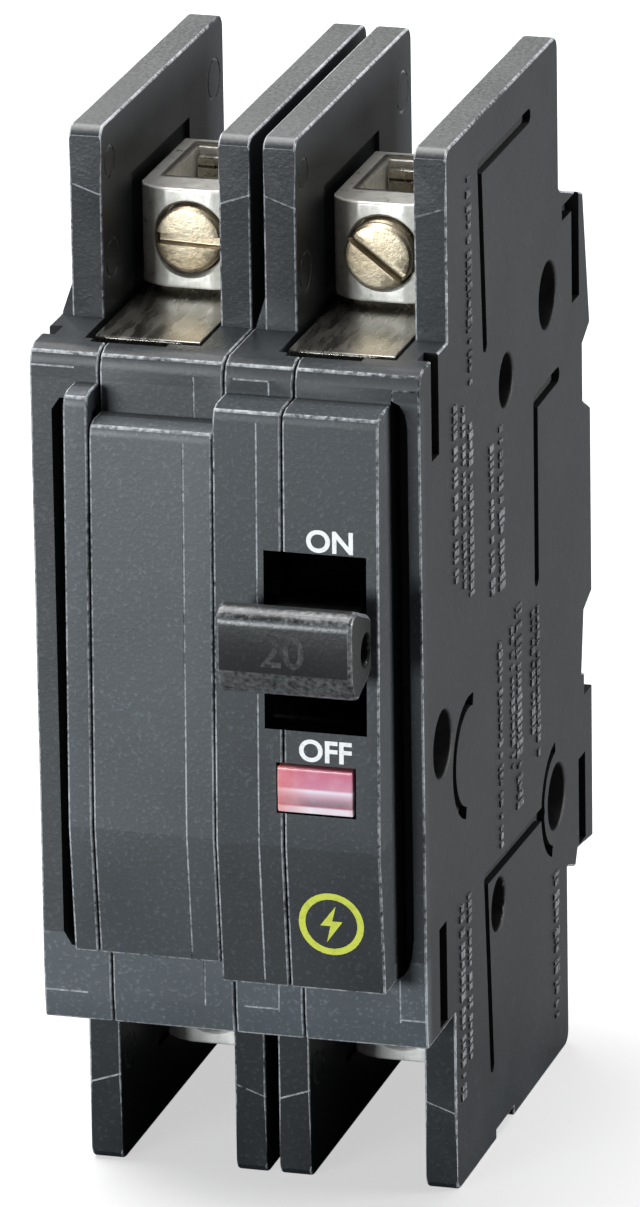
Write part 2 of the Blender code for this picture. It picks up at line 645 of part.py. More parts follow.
def make_trip_bar():
    """The common bar lies across both poles and has a finger in each."""
    pivot = add_pivot("trip_bar_pivot", 0, TRIP_BAR_AXIS)
    y, z = TRIP_BAR_AXIS
    low = POLES["left"] + OUTER_WALL + GAP
    high = POLE_PITCH - INNER_WALL - GAP
    bar = rod("trip_bar", TRIP_BAR_RADIUS, ((low + high) / 2, y, z), high - low, segments=12)
    hang(finish(bar, "trip_plastic"), pivot)
    for side in POLES:
        finger = box(f"trip_finger_{side}", span(side, 14.9, 16.5), (24.6, y), (59.6, z + 0.4))
        join(bar, finger)
        cut(bar, box(f"trip_relief_{side}", span(side, 14.0, 17.0), (26.0, y + 3), (58.0, z - 2.2)))


def make_mechanism(side):
    make_contacts(side)
    make_cradle(side)
    make_trip_unit(side)
    make_braid(side)
    make_arc_chute(side)


# --- fasteners and rail clips -------------------------------------------------------------------
def make_rivets():
    for number, (y, z, hole) in enumerate(RIVETS, start=1):
        head = hole - 0.5
        profile = [(0, RIVET_END), (head - 0.5, RIVET_END), (head, RIVET_END - 0.5),
                   (head, RIVET_END - 1.1), (RIVET_SHANK, RIVET_END - 1.1)]
        profile += [(radius, -height) for radius, height in reversed(profile)]
        finish(turned(f"rivet_{number}", profile, (0, y, z), ALONG_X, steps=12), "steel")


def make_rail_clips(side):
    """The upper hook is fixed, the lower one slides down to let go of the rail."""
    floor, thick = CLIP_SLOT_FLOOR + 0.4, 1.6
    lip, hook = 37.4, 36.3
    upper = [(floor, 84.0), (floor, 70.8), (hook, 70.8), (hook, 68.8), (lip, 68.8), (lip, 72.3),
             (floor + thick, 72.3), (floor + thick, 84.0)]
    finish(plate(f"rail_hook_{side}", upper, *span(side, *CLIP_WIDTH)), "steel")
    lower = [(floor, 19.4), (floor + thick, 19.4), (floor + thick, 34.9), (lip, 34.9), (lip, 38.6),
             (hook, 38.6), (hook, 36.5), (floor, 36.5)]
    pivot = add_pivot(f"rail_latch_slide_{side}", POLES[side], (floor, 19.4))
    hang(finish(plate(f"rail_latch_{side}", lower, *span(side, *CLIP_WIDTH)), "steel"), pivot)


def shade():
    for obj in bpy.data.collections[PARTS].objects:
        if obj.type == "MESH":
            obj.data.shade_smooth()
            obj.data.set_sharp_from_angle(angle=math.radians(30))


def main():
    clear_scene()
    make_collections()
    make_finishes()
    make_case()
    make_lens()
    make_flag()
    make_handle()
    for side in POLES:
        make_terminals(side)
        make_mechanism(side)
        make_rail_clips(side)
    make_trip_bar()
    make_rivets()
    shade()


main()
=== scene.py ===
"""Looks of a two-pole circuit breaker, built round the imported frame.

Sizes are millimetres in the frame's axes: +X right, -Y out of the handle face, +Z up. A solid is
shaped in millimetres and scaled to metres when it becomes a piece.
"""

import logging
import math
import random
from collections.abc import Callable, Iterable, Sequence
from dataclasses import dataclass
from enum import Enum

import bmesh
import bpy
from mathutils import Matrix, Vector


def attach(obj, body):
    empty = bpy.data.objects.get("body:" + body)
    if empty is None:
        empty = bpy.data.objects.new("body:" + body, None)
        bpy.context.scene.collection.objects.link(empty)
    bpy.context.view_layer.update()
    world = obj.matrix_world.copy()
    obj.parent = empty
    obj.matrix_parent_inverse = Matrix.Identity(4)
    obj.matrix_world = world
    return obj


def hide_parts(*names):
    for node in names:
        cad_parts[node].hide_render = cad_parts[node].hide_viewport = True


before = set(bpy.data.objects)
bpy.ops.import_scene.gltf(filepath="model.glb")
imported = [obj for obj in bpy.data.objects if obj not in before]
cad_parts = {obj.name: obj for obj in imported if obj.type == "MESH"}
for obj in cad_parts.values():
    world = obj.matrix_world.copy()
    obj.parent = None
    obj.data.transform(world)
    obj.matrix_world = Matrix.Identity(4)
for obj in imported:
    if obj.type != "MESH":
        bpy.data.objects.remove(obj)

log = logging.getLogger("breaker")

MM = 0.001
# Edge layer: scuffed edges are painted pale, which also paints the highlights along them; recesses are
# painted near black as shade.
EDGE_LAYER = "edge"  # on a face: above 0 a worn edge, below 0 a recess
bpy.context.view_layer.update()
CREASE = 40.0  # height of the crease across both noses
SHARP_ANGLE = 42.0  # degrees: flatter edges of a moulding are not rounded

Point = tuple[float, float]
Span = tuple[float, float]
Triple = tuple[float, float, float]


# --- solids -------------------------------------------------------------------------------------
def add_object(name: str, data: bpy.types.ID) -> bpy.types.Object:
    """A new object in the scene that shows the data."""
    obj = bpy.data.objects.new(name, data)
    bpy.context.scene.collection.objects.link(obj)
    return obj


def shape_of(obj: bpy.types.Object) -> bmesh.types.BMesh:
    """The object's shape with its modifiers applied."""
    bpy.context.view_layer.update()
    mesh = bpy.data.meshes.new_from_object(obj.evaluated_get(bpy.context.evaluated_depsgraph_get()))
    bm = bmesh.new()
    bm.from_mesh(mesh)
    bpy.data.meshes.remove(mesh)
    return bm


class Plane(Enum):
    """The plane that an outline lies in."""

    SIDE = "Y and Z, thick along X"
    FRONT = "X and Z, thick along Y"
    TOP = "X and Y, thick along Z"

    def place(self, first: float, second: float, third: float) -> Vector:
        """The point of an outline's two numbers and a third number across it."""
        if self is Plane.SIDE:
            return Vector((third, first, second))
        if self is Plane.FRONT:
            return Vector((first, third, second))
        return Vector((first, second, third))


class Carve(Enum):
    """What a tool does to a solid."""

    JOIN = "UNION"
    CUT = "DIFFERENCE"


class Solid:
    """A closed shape in the making, in millimetres."""

    def __init__(self, bm: bmesh.types.BMesh) -> None:
        """Takes over a bmesh and gives it the edge layer."""
        self.bm = bm
        self.layer = bm.faces.layers.float.get(EDGE_LAYER) or bm.faces.layers.float.new(EDGE_LAYER)

    @classmethod
    def prism(cls, outline: Iterable[Point], low: float, high: float, plane: Plane = Plane.SIDE) -> "Solid":
        """A flat outline given thickness.

        Args:
            outline: corners in the plane, in order.
            low: where the thickness starts.
            high: where it ends.
            plane: the plane of the outline.

        Returns:
            The closed solid.
        """
        bm = bmesh.new()
        face = bm.faces.new([bm.verts.new(plane.place(a, b, low)) for a, b in outline])
        made = bmesh.ops.extrude_face_region(bm, geom=[face])["geom"]
        moved = [part for part in made if isinstance(part, bmesh.types.BMVert)]
        bmesh.ops.translate(bm, vec=plane.place(0, 0, high - low), verts=moved)
        bmesh.ops.recalc_face_normals(bm, faces=bm.faces)
        return cls(bm)

    @classmethod
    def block(cls, x: Span, y: Span, z: Span) -> "Solid":
        """A box between two limits on each axis."""
        return cls.prism([(x[0], y[0]), (x[1], y[0]), (x[1], y[1]), (x[0], y[1])], *z, plane=Plane.TOP)

    @staticmethod
    def _turn_to(axis: str) -> Matrix:
        """The turn that lays the Z axis along X or Y."""
        if axis == "X":
            return Matrix.Rotation(math.radians(90), 3, "Y")
        return Matrix.Rotation(math.radians(-90), 3, "X")

    @classmethod
    def drum(cls, centre: Sequence[float], radius: float, length: float, axis: str = "X",
             segments: int = 40, tip: float | None = None) -> "Solid":
        """A cylinder or cone.

        Args:
            centre: its middle.
            radius: radius at the lower end of the axis.
            length: length along the axis.
            axis: "X" or "Y".
            segments: sides.
            tip: radius at the upper end, if it differs.

        Returns:
            The closed solid.
        """
        bm = bmesh.new()
        bmesh.ops.create_cone(bm, cap_ends=True, segments=segments, radius1=radius,
                              radius2=radius if tip is None else tip, depth=length)
        bmesh.ops.rotate(bm, cent=(0, 0, 0), matrix=cls._turn_to(axis), verts=bm.verts)
        bmesh.ops.translate(bm, vec=centre, verts=bm.verts)
        return cls(bm)

    @classmethod
    def turned(cls, profile: Iterable[Point], centre: Sequence[float], axis: str, steps: int = 48) -> "Solid":
        """A solid of revolution.

        Args:
            profile: radius and height pairs, the first and last on the axis.
            centre: where height 0 of the axis lies.
            axis: "X" or "Y", along which height counts.
            steps: sides of a full turn.

        Returns:
            The closed solid.
        """
        bm = bmesh.new()
        corners = [bm.verts.new((radius, 0, height)) for radius, height in profile]
        sides = [bm.edges.new(pair) for pair in zip(corners, corners[1:])]
        bmesh.ops.spin(bm, geom=corners + sides, cent=(0, 0, 0), axis=(0, 0, 1), angle=2 * math.pi,
                       steps=steps, use_merge=True)
        bmesh.ops.remove_doubles(bm, verts=bm.verts, dist=0.0005)
        bmesh.ops.rotate(bm, cent=(0, 0, 0), matrix=cls._turn_to(axis), verts=bm.verts)
        bmesh.ops.translate(bm, vec=centre, verts=bm.verts)
        bmesh.ops.recalc_face_normals(bm, faces=bm.faces)
        return cls(bm)

    @classmethod
    def groove(cls, points: Sequence[Point], width: float, low: float, high: float) -> "Solid":
        """A round-ended bar along a path in the side plane, as a cutter for a groove."""
        tools = []
        for (a, b), (c, d) in zip(points, points[1:]):
            heading = math.degrees(math.atan2(d - b, c - a))
            ring = arc((c, d), width / 2, heading - 90, heading + 90, 7)
            ring += arc((a, b), width / 2, heading + 90, heading + 270, 7)
            tools.append(cls.prism(ring, low, high))
        return tools[0].carve([(tool, Carve.JOIN) for tool in tools[1:]])

    def soften(self, width: float, segments: int = 2, angle: float = 20.0) -> "Solid":
        """Rounds every outer edge sharper than the angle and marks the new faces as scuffed edges, painted
        pale, which also paints their highlights.
        """
        sharp = [edge for edge in self.bm.edges
                 if edge.is_manifold and edge.is_convex and edge.calc_face_angle(0) > math.radians(angle)]
        made = bmesh.ops.bevel(self.bm, geom=sharp, offset=width, offset_type="OFFSET", segments=segments,
                               profile=0.5, affect="EDGES", clamp_overlap=True, material=-1)
        for face in made["faces"]:
            face[self.layer] = 1.0
        return self

    def mark(self, value: float = 1.0) -> "Solid":
        """Marks every face with the edge layer's value: above 0 a scuffed edge painted pale, which also
        paints its highlight; below 0 a recess painted near black as shade.
        """
        for face in self.bm.faces:
            face[self.layer] = value
        return self

    def bend(self, matrix: Matrix) -> "Solid":
        """Moves the whole solid by a matrix."""
        bmesh.ops.transform(self.bm, matrix=matrix, verts=self.bm.verts)
        return self

    def as_object(self, name: str) -> bpy.types.Object:
        """Frees the bmesh into a new object in the scene."""
        mesh = bpy.data.meshes.new(name)
        self.bm.to_mesh(mesh)
        self.bm.free()
        return add_object(name, mesh)

    def carve(self, tools: Sequence[tuple["Solid", Carve]]) -> "Solid":
        """Joins and cuts other solids, which are used up.

        Args:
            tools: each solid and what it does, in order.

        Returns:
            This solid.
        """
        if not tools:
            return self
        base = self.as_object("carved")
        helpers = [base]
        for tool, action in tools:
            helper = tool.as_object("tool")
            helpers.append(helper)
            modifier = base.modifiers.new("carve", "BOOLEAN")
            modifier.operation = action.value
            modifier.solver = "MANIFOLD"
            modifier.object = helper
        bm = shape_of(base)
        used = [helper.data for helper in helpers]
        for helper in helpers:
            bpy.data.objects.remove(helper, do_unlink=True)
        for mesh in used:
            bpy.data.meshes.remove(mesh)
        self.__init__(bm)
        return self

    def cut(self, *tools: "Solid") -> "Solid":
        """Cuts the tools out of this solid."""
        return self.carve([(tool, Carve.CUT) for tool in tools])

    def join(self, *tools: "Solid") -> "Solid":
        """Joins the tools to this solid."""
        return self.carve([(tool, Carve.JOIN) for tool in tools])


def arc(centre: Point, radius: float, start: float, end: float, count: int) -> list[Point]:
    """Points of an arc, angles in degrees."""
    steps = [math.radians(start + (end - start) * i / (count - 1)) for i in range(count)]
    return [(centre[0] + radius * math.cos(a), centre[1] + radius * math.sin(a)) for a in steps]


def ring_sector(centre: Point, radius: float, width: float, start: float, end: float) -> list[Point]:
    """The outline of a curved groove, angles in degrees."""
    outer = arc(centre, radius + width / 2, start, end, 25)
    return outer + arc(centre, radius - width / 2, end, start, 25)


@dataclass(frozen=True)
class Fitting:
    """How a piece belongs to the frame."""

    name: str
    body: str
    material: bpy.types.Material
    slot: str
    replaces: tuple[str, ...] = ()
    smooth_deg: float = 50.0

    def fit(self, solid: Solid) -> bpy.types.Object:
        """Makes the solid a piece, scaled to metres, dressed and riding on its body.

        Args:
            solid: the finished shape, which is used up.

        Returns:
            The piece.
        """
        solid.bend(Matrix.Scale(MM, 4))
        piece = solid.as_object(self.name)
        piece.data.materials.append(self.material)
        piece.data.shade_smooth()
        piece.data.set_sharp_from_angle(angle=math.radians(self.smooth_deg))
        normals = piece.modifiers.new("even shading", "WEIGHTED_NORMAL")
        normals.keep_sharp = True
        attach(piece, self.body)
        if self.replaces:
            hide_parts(*self.replaces)
        log.info("%s: %d faces on %s", self.name, len(piece.data.polygons), self.body)
        return piece


# --- materials ----------------------------------------------------------------------------------
Colour = Triple
Paint = tuple[float, float, float, float]
Socket = bpy.types.NodeSocket
Sockets = bpy.types.bpy_prop_collection


def rgba(colour: Colour) -> Paint:
    """The colour with full alpha."""
    return (*colour, 1.0)


def grey(tone: float) -> Paint:
    """A grey with full alpha."""
    return (tone, tone, tone, 1.0)


class Nodes:
    """A short way to write a node tree."""

    def __init__(self, tree: bpy.types.NodeTree) -> None:
        """Works on this tree."""
        self.tree = tree

    def feed(self, node: bpy.types.Node, values: dict[str | int, object]) -> None:
        """Feeds a node's inputs, by name or number, from output sockets and constants."""
        for name, value in values.items():
            if isinstance(value, Socket):
                self.tree.links.new(value, node.inputs[name])
            else:
                node.inputs[name].default_value = value

    def add(self, kind: str, values: dict[str | int, object] | None = None,
            **settings: object) -> bpy.types.Node:
        """Adds a node.

        Args:
            kind: its type without the ShaderNode prefix.
            values: what its inputs are fed.
            settings: properties of the node.

        Returns:
            The node.
        """
        node = self.tree.nodes.new("ShaderNode" + kind)
        for name, value in settings.items():
            setattr(node, name, value)
        self.feed(node, values or {})
        return node

    def math(self, operation: str, first: object, second: object = 0.0, clamp: bool = False) -> Socket:
        """The result of a two-value sum."""
        return self.add("Math", {0: first, 1: second}, operation=operation, use_clamp=clamp).outputs[0]

    def total(self, first: object, *others: object) -> Socket:
        """Several values added up."""
        for other in others:
            first = self.math("ADD", first, other)
        return first

    def times(self, first: object, second: object) -> Socket:
        """The product of two values."""
        return self.math("MULTIPLY", first, second)

    def noise(self, where: Socket, scale: object, detail: float = 3.0, roughness: float = 0.55) -> Socket:
        """A noise value at a place."""
        values = {"Vector": where, "Scale": scale, "Detail": detail, "Roughness": roughness}
        return self.add("TexNoise", values).outputs["Fac"]

    def ramp(self, value: Socket, low: float, high: float, to: Span = (0.0, 1.0)) -> Socket:
        """The value spread from its low and high to two others, and clamped."""
        values = {"Value": value, "From Min": low, "From Max": high, "To Min": to[0], "To Max": to[1]}
        return self.add("MapRange", values, clamp=True).outputs["Result"]

    def mix(self, share: object, first: object, second: object, blend: str = "MIX") -> Socket:
        """Two colours mixed by a share."""
        values = {0: share, 6: first, 7: second}
        return self.add("Mix", values, data_type="RGBA", blend_type=blend).outputs[2]

    def group(self, tree: bpy.types.NodeTree, value: float) -> Sockets:
        """The outputs of a group, given its one input."""
        return self.add("Group", {0: value}, node_tree=tree).outputs

    def where(self) -> Socket:
        """The place in the object's own coordinates, in metres."""
        return self.add("TexCoord").outputs["Object"]

    def parts(self, vector: Socket) -> Sockets:
        """X, Y and Z of a vector."""
        return self.add("SeparateXYZ", {0: vector}).outputs

    def facing(self) -> Sockets:
        """X, Y and Z of the way the surface faces."""
        return self.parts(self.add("NewGeometry").outputs["Normal"])

    def seen(self) -> Socket:
        """1 where the camera itself looks, 0 where light or a reflection does."""
        return self.add("LightPath").outputs["Is Camera Ray"]

    def bump(self, height: Socket, strength: float, distance: float) -> Socket:
        """A surface direction that follows a height."""
        values = {"Height": height, "Strength": strength, "Distance": distance}
        return self.add("Bump", values).outputs["Normal"]


class Effects:
    """Shader groups that several finishes share."""

    def __init__(self) -> None:
        """Builds every group once."""
        # Pale scuffed edges that also paint the edge highlights, and recesses painted near black as shade.
        self.wear_and_highlight = self._group("edge wear", "Cover", self._edge_wear_and_highlight)
        self.grain = self._group("grain", "Fineness", self._grain)
        self.dust = self._group("dust", "Amount", self._dust)

    @staticmethod
    def _group(name: str, given: str,
               build: Callable[[Nodes, Socket], dict[str, Socket]]) -> bpy.types.NodeTree:
        """A group with one input, and the outputs that the builder returns."""
        tree = bpy.data.node_groups.new(name, "ShaderNodeTree")
        tree.interface.new_socket(given, in_out="INPUT", socket_type="NodeSocketFloat")
        nodes = Nodes(tree)
        made = build(nodes, tree.nodes.new("NodeGroupInput").outputs[given])
        for label in made:
            tree.interface.new_socket(label, in_out="OUTPUT", socket_type="NodeSocketFloat")
        nodes.feed(tree.nodes.new("NodeGroupOutput"), made)
        return tree

    @staticmethod
    def _edge_wear_and_highlight(nodes: Nodes, cover: Socket) -> dict[str, Socket]:
        """Masks of rounded edges, broken up by noise, painted pale as scuffing and as edge highlights, and of
        recesses, painted near black as shade.
        """
        edge = nodes.add("Attribute", attribute_name=EDGE_LAYER, attribute_type="GEOMETRY").outputs["Fac"]
        where = nodes.where()
        patches, specks = nodes.noise(where, 90.0, 2.0), nodes.noise(where, 2200.0, 2.0, 0.5)
        lifted = nodes.total(nodes.times(patches, 0.5), nodes.times(specks, 0.5), cover)
        mask = nodes.times(nodes.ramp(edge, 0.0, 1.0), nodes.ramp(lifted, 0.88, 1.10))
        # Recesses, marked below 0, are painted near black as shade.
        return {"Mask": mask, "Recess": nodes.ramp(edge, 0.0, -1.0)}

    @staticmethod
    def _grain(nodes: Nodes, fineness: Socket) -> dict[str, Socket]:
        """Fine moulding or casting grain: a height, its specks and a slow variation."""
        where = nodes.where()
        fine = nodes.noise(where, fineness, 2.0, 0.6)
        return {"Height": fine, "Specks": nodes.ramp(fine, 0.56, 0.72),
                "Cloud": nodes.noise(where, 60.0, 4.0)}

    @staticmethod
    def _dust(nodes: Nodes, amount: Socket) -> dict[str, Socket]:
        """Mask of pale dust that lies on faces that look up."""
        patches = nodes.ramp(nodes.noise(nodes.where(), 2400.0), 0.4, 0.65, (0.35, 1.0))
        lying = nodes.times(nodes.ramp(nodes.facing()["Z"], 0.55, 0.95), patches)
        return {"Mask": nodes.times(lying, amount)}


def new_material(name: str) -> tuple[bpy.types.Material, Nodes, bpy.types.Node]:
    """An empty material, its nodes and its Principled shader."""
    material = bpy.data.materials.new(name)
    material.use_nodes = True
    return material, Nodes(material.node_tree), material.node_tree.nodes["Principled BSDF"]


@dataclass(frozen=True)
class Finish:
    """A kind of surface: its name, its main colour and what it feeds its shader."""

    name: str
    base: Colour

    def make(self, effects: Effects) -> bpy.types.Material:
        """Builds the material with the shared groups."""
        material, nodes, shader = new_material(self.name)
        nodes.feed(shader, self.inputs(nodes, effects))
        return material

    def inputs(self, nodes: Nodes, effects: Effects) -> dict[str, object]:
        """What each input of the shader is fed."""
        raise NotImplementedError

    def shade(self, factor: float) -> Paint:
        """The main colour made lighter or darker."""
        return rgba(tuple(channel * factor for channel in self.base))


@dataclass(frozen=True)
class Masks:
    """Where a moulding has pale scuffed and highlighted edges, recesses painted as shade, dust, a front
    painted lighter as a sheen, or exposure, as sockets of its material.
    """

    wear_and_highlight: Socket
    recess: Socket
    dust: Socket
    cloud: Socket
    specks: Socket
    front: Socket
    exposed: Socket
    place: Sockets
    facing: Sockets


@dataclass(frozen=True)
class MouldedFinish(Finish):
    """Black moulded thermoset with grain, scuffed edges whose pale also paints their highlights, recesses
    painted near black as shade, some dust and a front that handling has dulled and that is painted lighter as
    a sheen.

    Tones are factors of the base colour; the front's tones paint a sheen on it. The depths and heights are
    those of the case's noses and step.
    """

    # Pale of scuffed edges, which also paints the highlights along them.
    worn_highlight: Colour
    dust: Colour = (0.20, 0.20, 0.19)
    # Near black, painted into recesses as shade.
    painted_shade: Colour = (0.0015, 0.0015, 0.0015)
    roughness: float = 0.42
    wear_highlight_cover: float = 0.5
    wear_highlight_strength: float = 0.8
    dust_amount: float = 0.35
    fineness: float = 2600.0
    bump: float = 0.25
    speck: float = 0.35
    specular: float = 0.5
    nose_sheen_tones: Span = (1.0, 1.0)
    step_sheen_tones: Span = (1.0, 1.0)
    right_sheen_share: float = 1.0
    right_dull: float = 0.0
    handled_matt: float = 0.0
    side_matt: float = 0.0
    sheltered_dull: float = 0.0
    step_depths: Span = (-22.0, -23.8)
    nose_depths: Span = (-25.2, -25.4)
    nose_ends: Span = (27.2, 82.9)
    blend: float = 0.1
    exposed_heights: Span = (87.0, 90.0)
    sheltered_share: float = 0.25

    def inputs(self, nodes: Nodes, effects: Effects) -> dict[str, object]:
        """Colour, roughness and shine by the masks, and the grain's bumps."""
        grain = nodes.group(effects.grain, self.fineness)
        masks = self.masks(nodes, effects, grain)
        return {"Base Color": self.colour(nodes, masks), "Roughness": self.matt(nodes, masks),
                "Specular IOR Level": self.shine(nodes, masks),
                "Normal": nodes.bump(grain["Height"], self.bump, 0.00004)}

    def masks(self, nodes: Nodes, effects: Effects, grain: Sockets) -> Masks:
        """Lays out the masks.

        Args:
            nodes: the material's nodes.
            effects: the shared groups.
            grain: the grain group's outputs.

        Returns:
            The masks.
        """
        edge_and_recess = nodes.group(effects.wear_and_highlight, self.wear_highlight_cover)
        dust = nodes.group(effects.dust, self.dust_amount)["Mask"]
        place = nodes.parts(nodes.where())
        low, high = self.exposed_heights
        exposed = nodes.ramp(place["Z"], low * MM, high * MM, (self.sheltered_share, 1.0))
        behind, before = self.step_depths
        # Dust is thinned on the low shelf among the ears, which paints the shelf darker as shade.
        return Masks(
            wear_and_highlight=edge_and_recess["Mask"], recess=edge_and_recess["Recess"], dust=nodes.times(dust, exposed),
            cloud=grain["Cloud"], specks=nodes.times(grain["Specks"], self.speck),
            front=nodes.ramp(place["Y"], behind * MM, before * MM), exposed=exposed,
            place=place, facing=nodes.facing())

    def colour(self, nodes: Nodes, masks: Masks) -> Socket:
        """The base colour: clouded, speckled, painted lighter on the front as a sheen, then recesses painted
        near black as shade, dust, and pale scuffed edges that also paint edge highlights.
        """
        cloud = nodes.ramp(masks.cloud, 0.3, 0.7, (0.0, 0.35))
        cloudy = nodes.mix(cloud, rgba(self.base), self.shade(1.9))
        speckled = nodes.mix(masks.specks, cloudy, self.shade(3.2))
        # The front is painted lighter as a sheen: more above the crease than below, and less on the right
        # pole.
        lightened = nodes.mix(masks.front, speckled, self.front_sheen(nodes, masks.place), "MULTIPLY")
        # Recesses painted near black as shade.
        recess_shaded = nodes.mix(masks.recess, lightened, rgba(self.painted_shade))
        lying = nodes.math("SUBTRACT", masks.dust, masks.recess, clamp=True)
        dusty = nodes.mix(lying, recess_shaded, rgba(self.dust))
        # Pale scuffed edges; the pale also paints the highlights along the edges.
        return nodes.mix(nodes.times(masks.wear_and_highlight, self.wear_highlight_strength), dusty, rgba(self.worn_highlight))

    def matt(self, nodes: Nodes, masks: Masks) -> Socket:
        """The roughness: more in recesses, on the front, the sides, exposed tops and under dust."""
        own = nodes.ramp(masks.cloud, 0.3, 0.7, (self.roughness - 0.05, self.roughness + 0.07))
        sideways = nodes.math("ABSOLUTE", masks.facing["X"])
        side = nodes.ramp(sideways, 0.7, 0.95, (0.0, self.side_matt))
        upward = nodes.ramp(masks.facing["Z"], 0.08, 0.4, (0.0, self.side_matt))
        return nodes.total(own, nodes.times(masks.recess, 0.5), nodes.times(masks.front, self.handled_matt),
                           side, nodes.times(masks.exposed, upward), nodes.times(masks.dust, 0.3))

    def shine(self, nodes: Nodes, masks: Masks) -> Socket:
        """The specular level: less on sheltered tops and on the right pole's front."""
        sheltered = nodes.ramp(masks.exposed, self.sheltered_share, 1.0, (self.sheltered_dull, 0.0))
        shelf = nodes.times(nodes.ramp(masks.facing["Z"], 0.7, 0.95), sheltered)
        right = nodes.ramp(masks.place["X"], -self.blend * MM, 0.0, (0.0, self.right_dull))
        dull = nodes.total(shelf, nodes.times(masks.front, right))
        return nodes.times(nodes.math("SUBTRACT", 1.0, dull), self.specular)

    def front_sheen(self, nodes: Nodes, place: Sockets) -> Socket:
        """How much lighter the front is painted, as a painted sheen of the front light.

        The noses have one tone below the crease and one above, and the step has one below the noses and
        one beside them.

        Args:
            nodes: the material's nodes.
            place: the object coordinates.

        Returns:
            A factor for the base colour.
        """
        half = self.blend / 2
        foot, head = self.nose_ends
        pole = nodes.ramp(place["X"], -self.blend * MM, 0.0, (1.0, self.right_sheen_share))
        band = nodes.ramp(place["Z"], (CREASE - half) * MM, (CREASE + half) * MM, self.nose_sheen_tones)
        nose = nodes.times(band, pole)
        step = nodes.ramp(place["Z"], foot * MM, (foot + self.blend) * MM, self.step_sheen_tones)
        crown = nodes.ramp(place["Z"], head * MM, (head + self.blend) * MM, (self.step_sheen_tones[0], 1.0))
        step = nodes.math("MINIMUM", step, crown)
        on_nose = nodes.ramp(place["Y"], self.nose_depths[0] * MM, self.nose_depths[1] * MM)
        return nodes.total(step, nodes.times(on_nose, nodes.math("SUBTRACT", nose, step)))


@dataclass(frozen=True)
class MetalFinish(Finish):
    """Bare or plated metal with grain, fine scratches and slight stains."""

    stain: Colour
    roughness: float = 0.25
    roughness_spread: float = 0.15
    fineness: float = 1500.0
    bump: float = 0.3
    scratch: Triple = (1.0, 1.0, 1.0)
    stain_share: float = 0.4
    metallic: float = 1.0
    # Share of painted shade, darkening faces that look up.
    painted_shade: float = 0.0

    def inputs(self, nodes: Nodes, effects: Effects) -> dict[str, object]:
        """Colour with stains, scratches and painted shade on faces that look up, and bumps of grain and
        scratches.
        """
        grain, where = nodes.group(effects.grain, self.fineness), nodes.where()
        stretched = nodes.add("Mapping", {"Vector": where, "Scale": self.scratch}).outputs["Vector"]
        lines = nodes.noise(stretched, 900.0, 3.0, 0.7)
        stain = nodes.ramp(nodes.noise(where, 220.0, 4.0), 0.42, 0.68, (0.0, self.stain_share))
        stained = nodes.mix(stain, rgba(self.base), rgba(self.stain))
        scratched = nodes.mix(nodes.ramp(lines, 0.35, 0.6, (0.35, 0.0)), stained, self.shade(0.45))
        # Faces that look up are painted darker, a painted shade.
        lying = nodes.ramp(nodes.facing()["Z"], 0.7, 0.95, (0.0, self.painted_shade))
        low, high = self.roughness, self.roughness + self.roughness_spread
        height = nodes.total(nodes.times(grain["Height"], 0.5), nodes.times(lines, 0.5))
        return {"Base Color": nodes.mix(lying, scratched, self.shade(0.12)), "Metallic": self.metallic,
                "Roughness": nodes.ramp(lines, 0.3, 0.7, (low, high)),
                "Normal": nodes.bump(height, self.bump, 0.00005)}


@dataclass(frozen=True)
class PaintFinish(Finish):
    """Printed or pad-printed ink, slightly uneven."""

    roughness: float = 0.5

    def inputs(self, nodes: Nodes, effects: Effects) -> dict[str, object]:
        """Colour, thinner in places."""
        grain = nodes.group(effects.grain, 1800.0)
        share = nodes.ramp(grain["Height"], 0.5, 0.75, (0.0, 0.7))
        return {"Base Color": nodes.mix(share, rgba(self.base), self.shade(0.72)),
                "Roughness": self.roughness}


@dataclass(frozen=True)
class LensFinish(Finish):
    """Window plastic with painted highlight and reflection stripes across it, which turns to its main colour
    at the left end.
    """

    middle: float
    half: float
    warm_end: Span = (6.4, 9.5)
    # The near white stops are painted highlights and the grey stops painted reflections; the reds are the
    # lens's own colour.
    painted_light_bands: tuple[tuple[float, Colour], ...] = (
        (0.0, (0.92, 0.84, 0.88)), (0.14, (0.90, 0.78, 0.84)), (0.18, (0.40, 0.14, 0.20)),
        (0.24, (0.30, 0.22, 0.26)), (0.34, (0.50, 0.30, 0.36)), (0.44, (0.74, 0.52, 0.62)),
        (0.52, (0.92, 0.86, 0.94)), (0.57, (0.68, 0.27, 0.38)), (0.85, (0.64, 0.19, 0.29)),
        (1.0, (0.60, 0.16, 0.22)))

    def inputs(self, nodes: Nodes, effects: Effects) -> dict[str, object]:
        """Colour by height, with painted highlight and reflection stripes, a glossy coat and light that goes
        a little way in.
        """
        where = nodes.where()
        place = nodes.parts(where)
        height = nodes.ramp(place["Z"], (self.middle - self.half) * MM, (self.middle + self.half) * MM)
        banded = nodes.add("ValToRGB", {0: height})
        stops = banded.color_ramp.elements
        while len(stops) < len(self.painted_light_bands):
            stops.new(0.5)
        for stop, (level, colour) in zip(stops, self.painted_light_bands):
            stop.position = level
            stop.color = rgba(colour)
        left, right = self.warm_end
        warm = nodes.ramp(place["X"], left * MM, right * MM, (0.65, 0.0))
        tinted = nodes.mix(warm, banded.outputs["Color"], rgba(self.base))
        cloud = nodes.ramp(nodes.noise(where, 700.0), 0.4, 0.7, (0.0, 0.3))
        return {"Base Color": nodes.mix(cloud, tinted, rgba((0.78, 0.48, 0.56))), "Roughness": 0.25,
                "Subsurface Weight": 0.25, "Subsurface Radius": (0.001, 0.0003, 0.0003),
                "Coat Weight": 0.2, "Coat Roughness": 0.05}


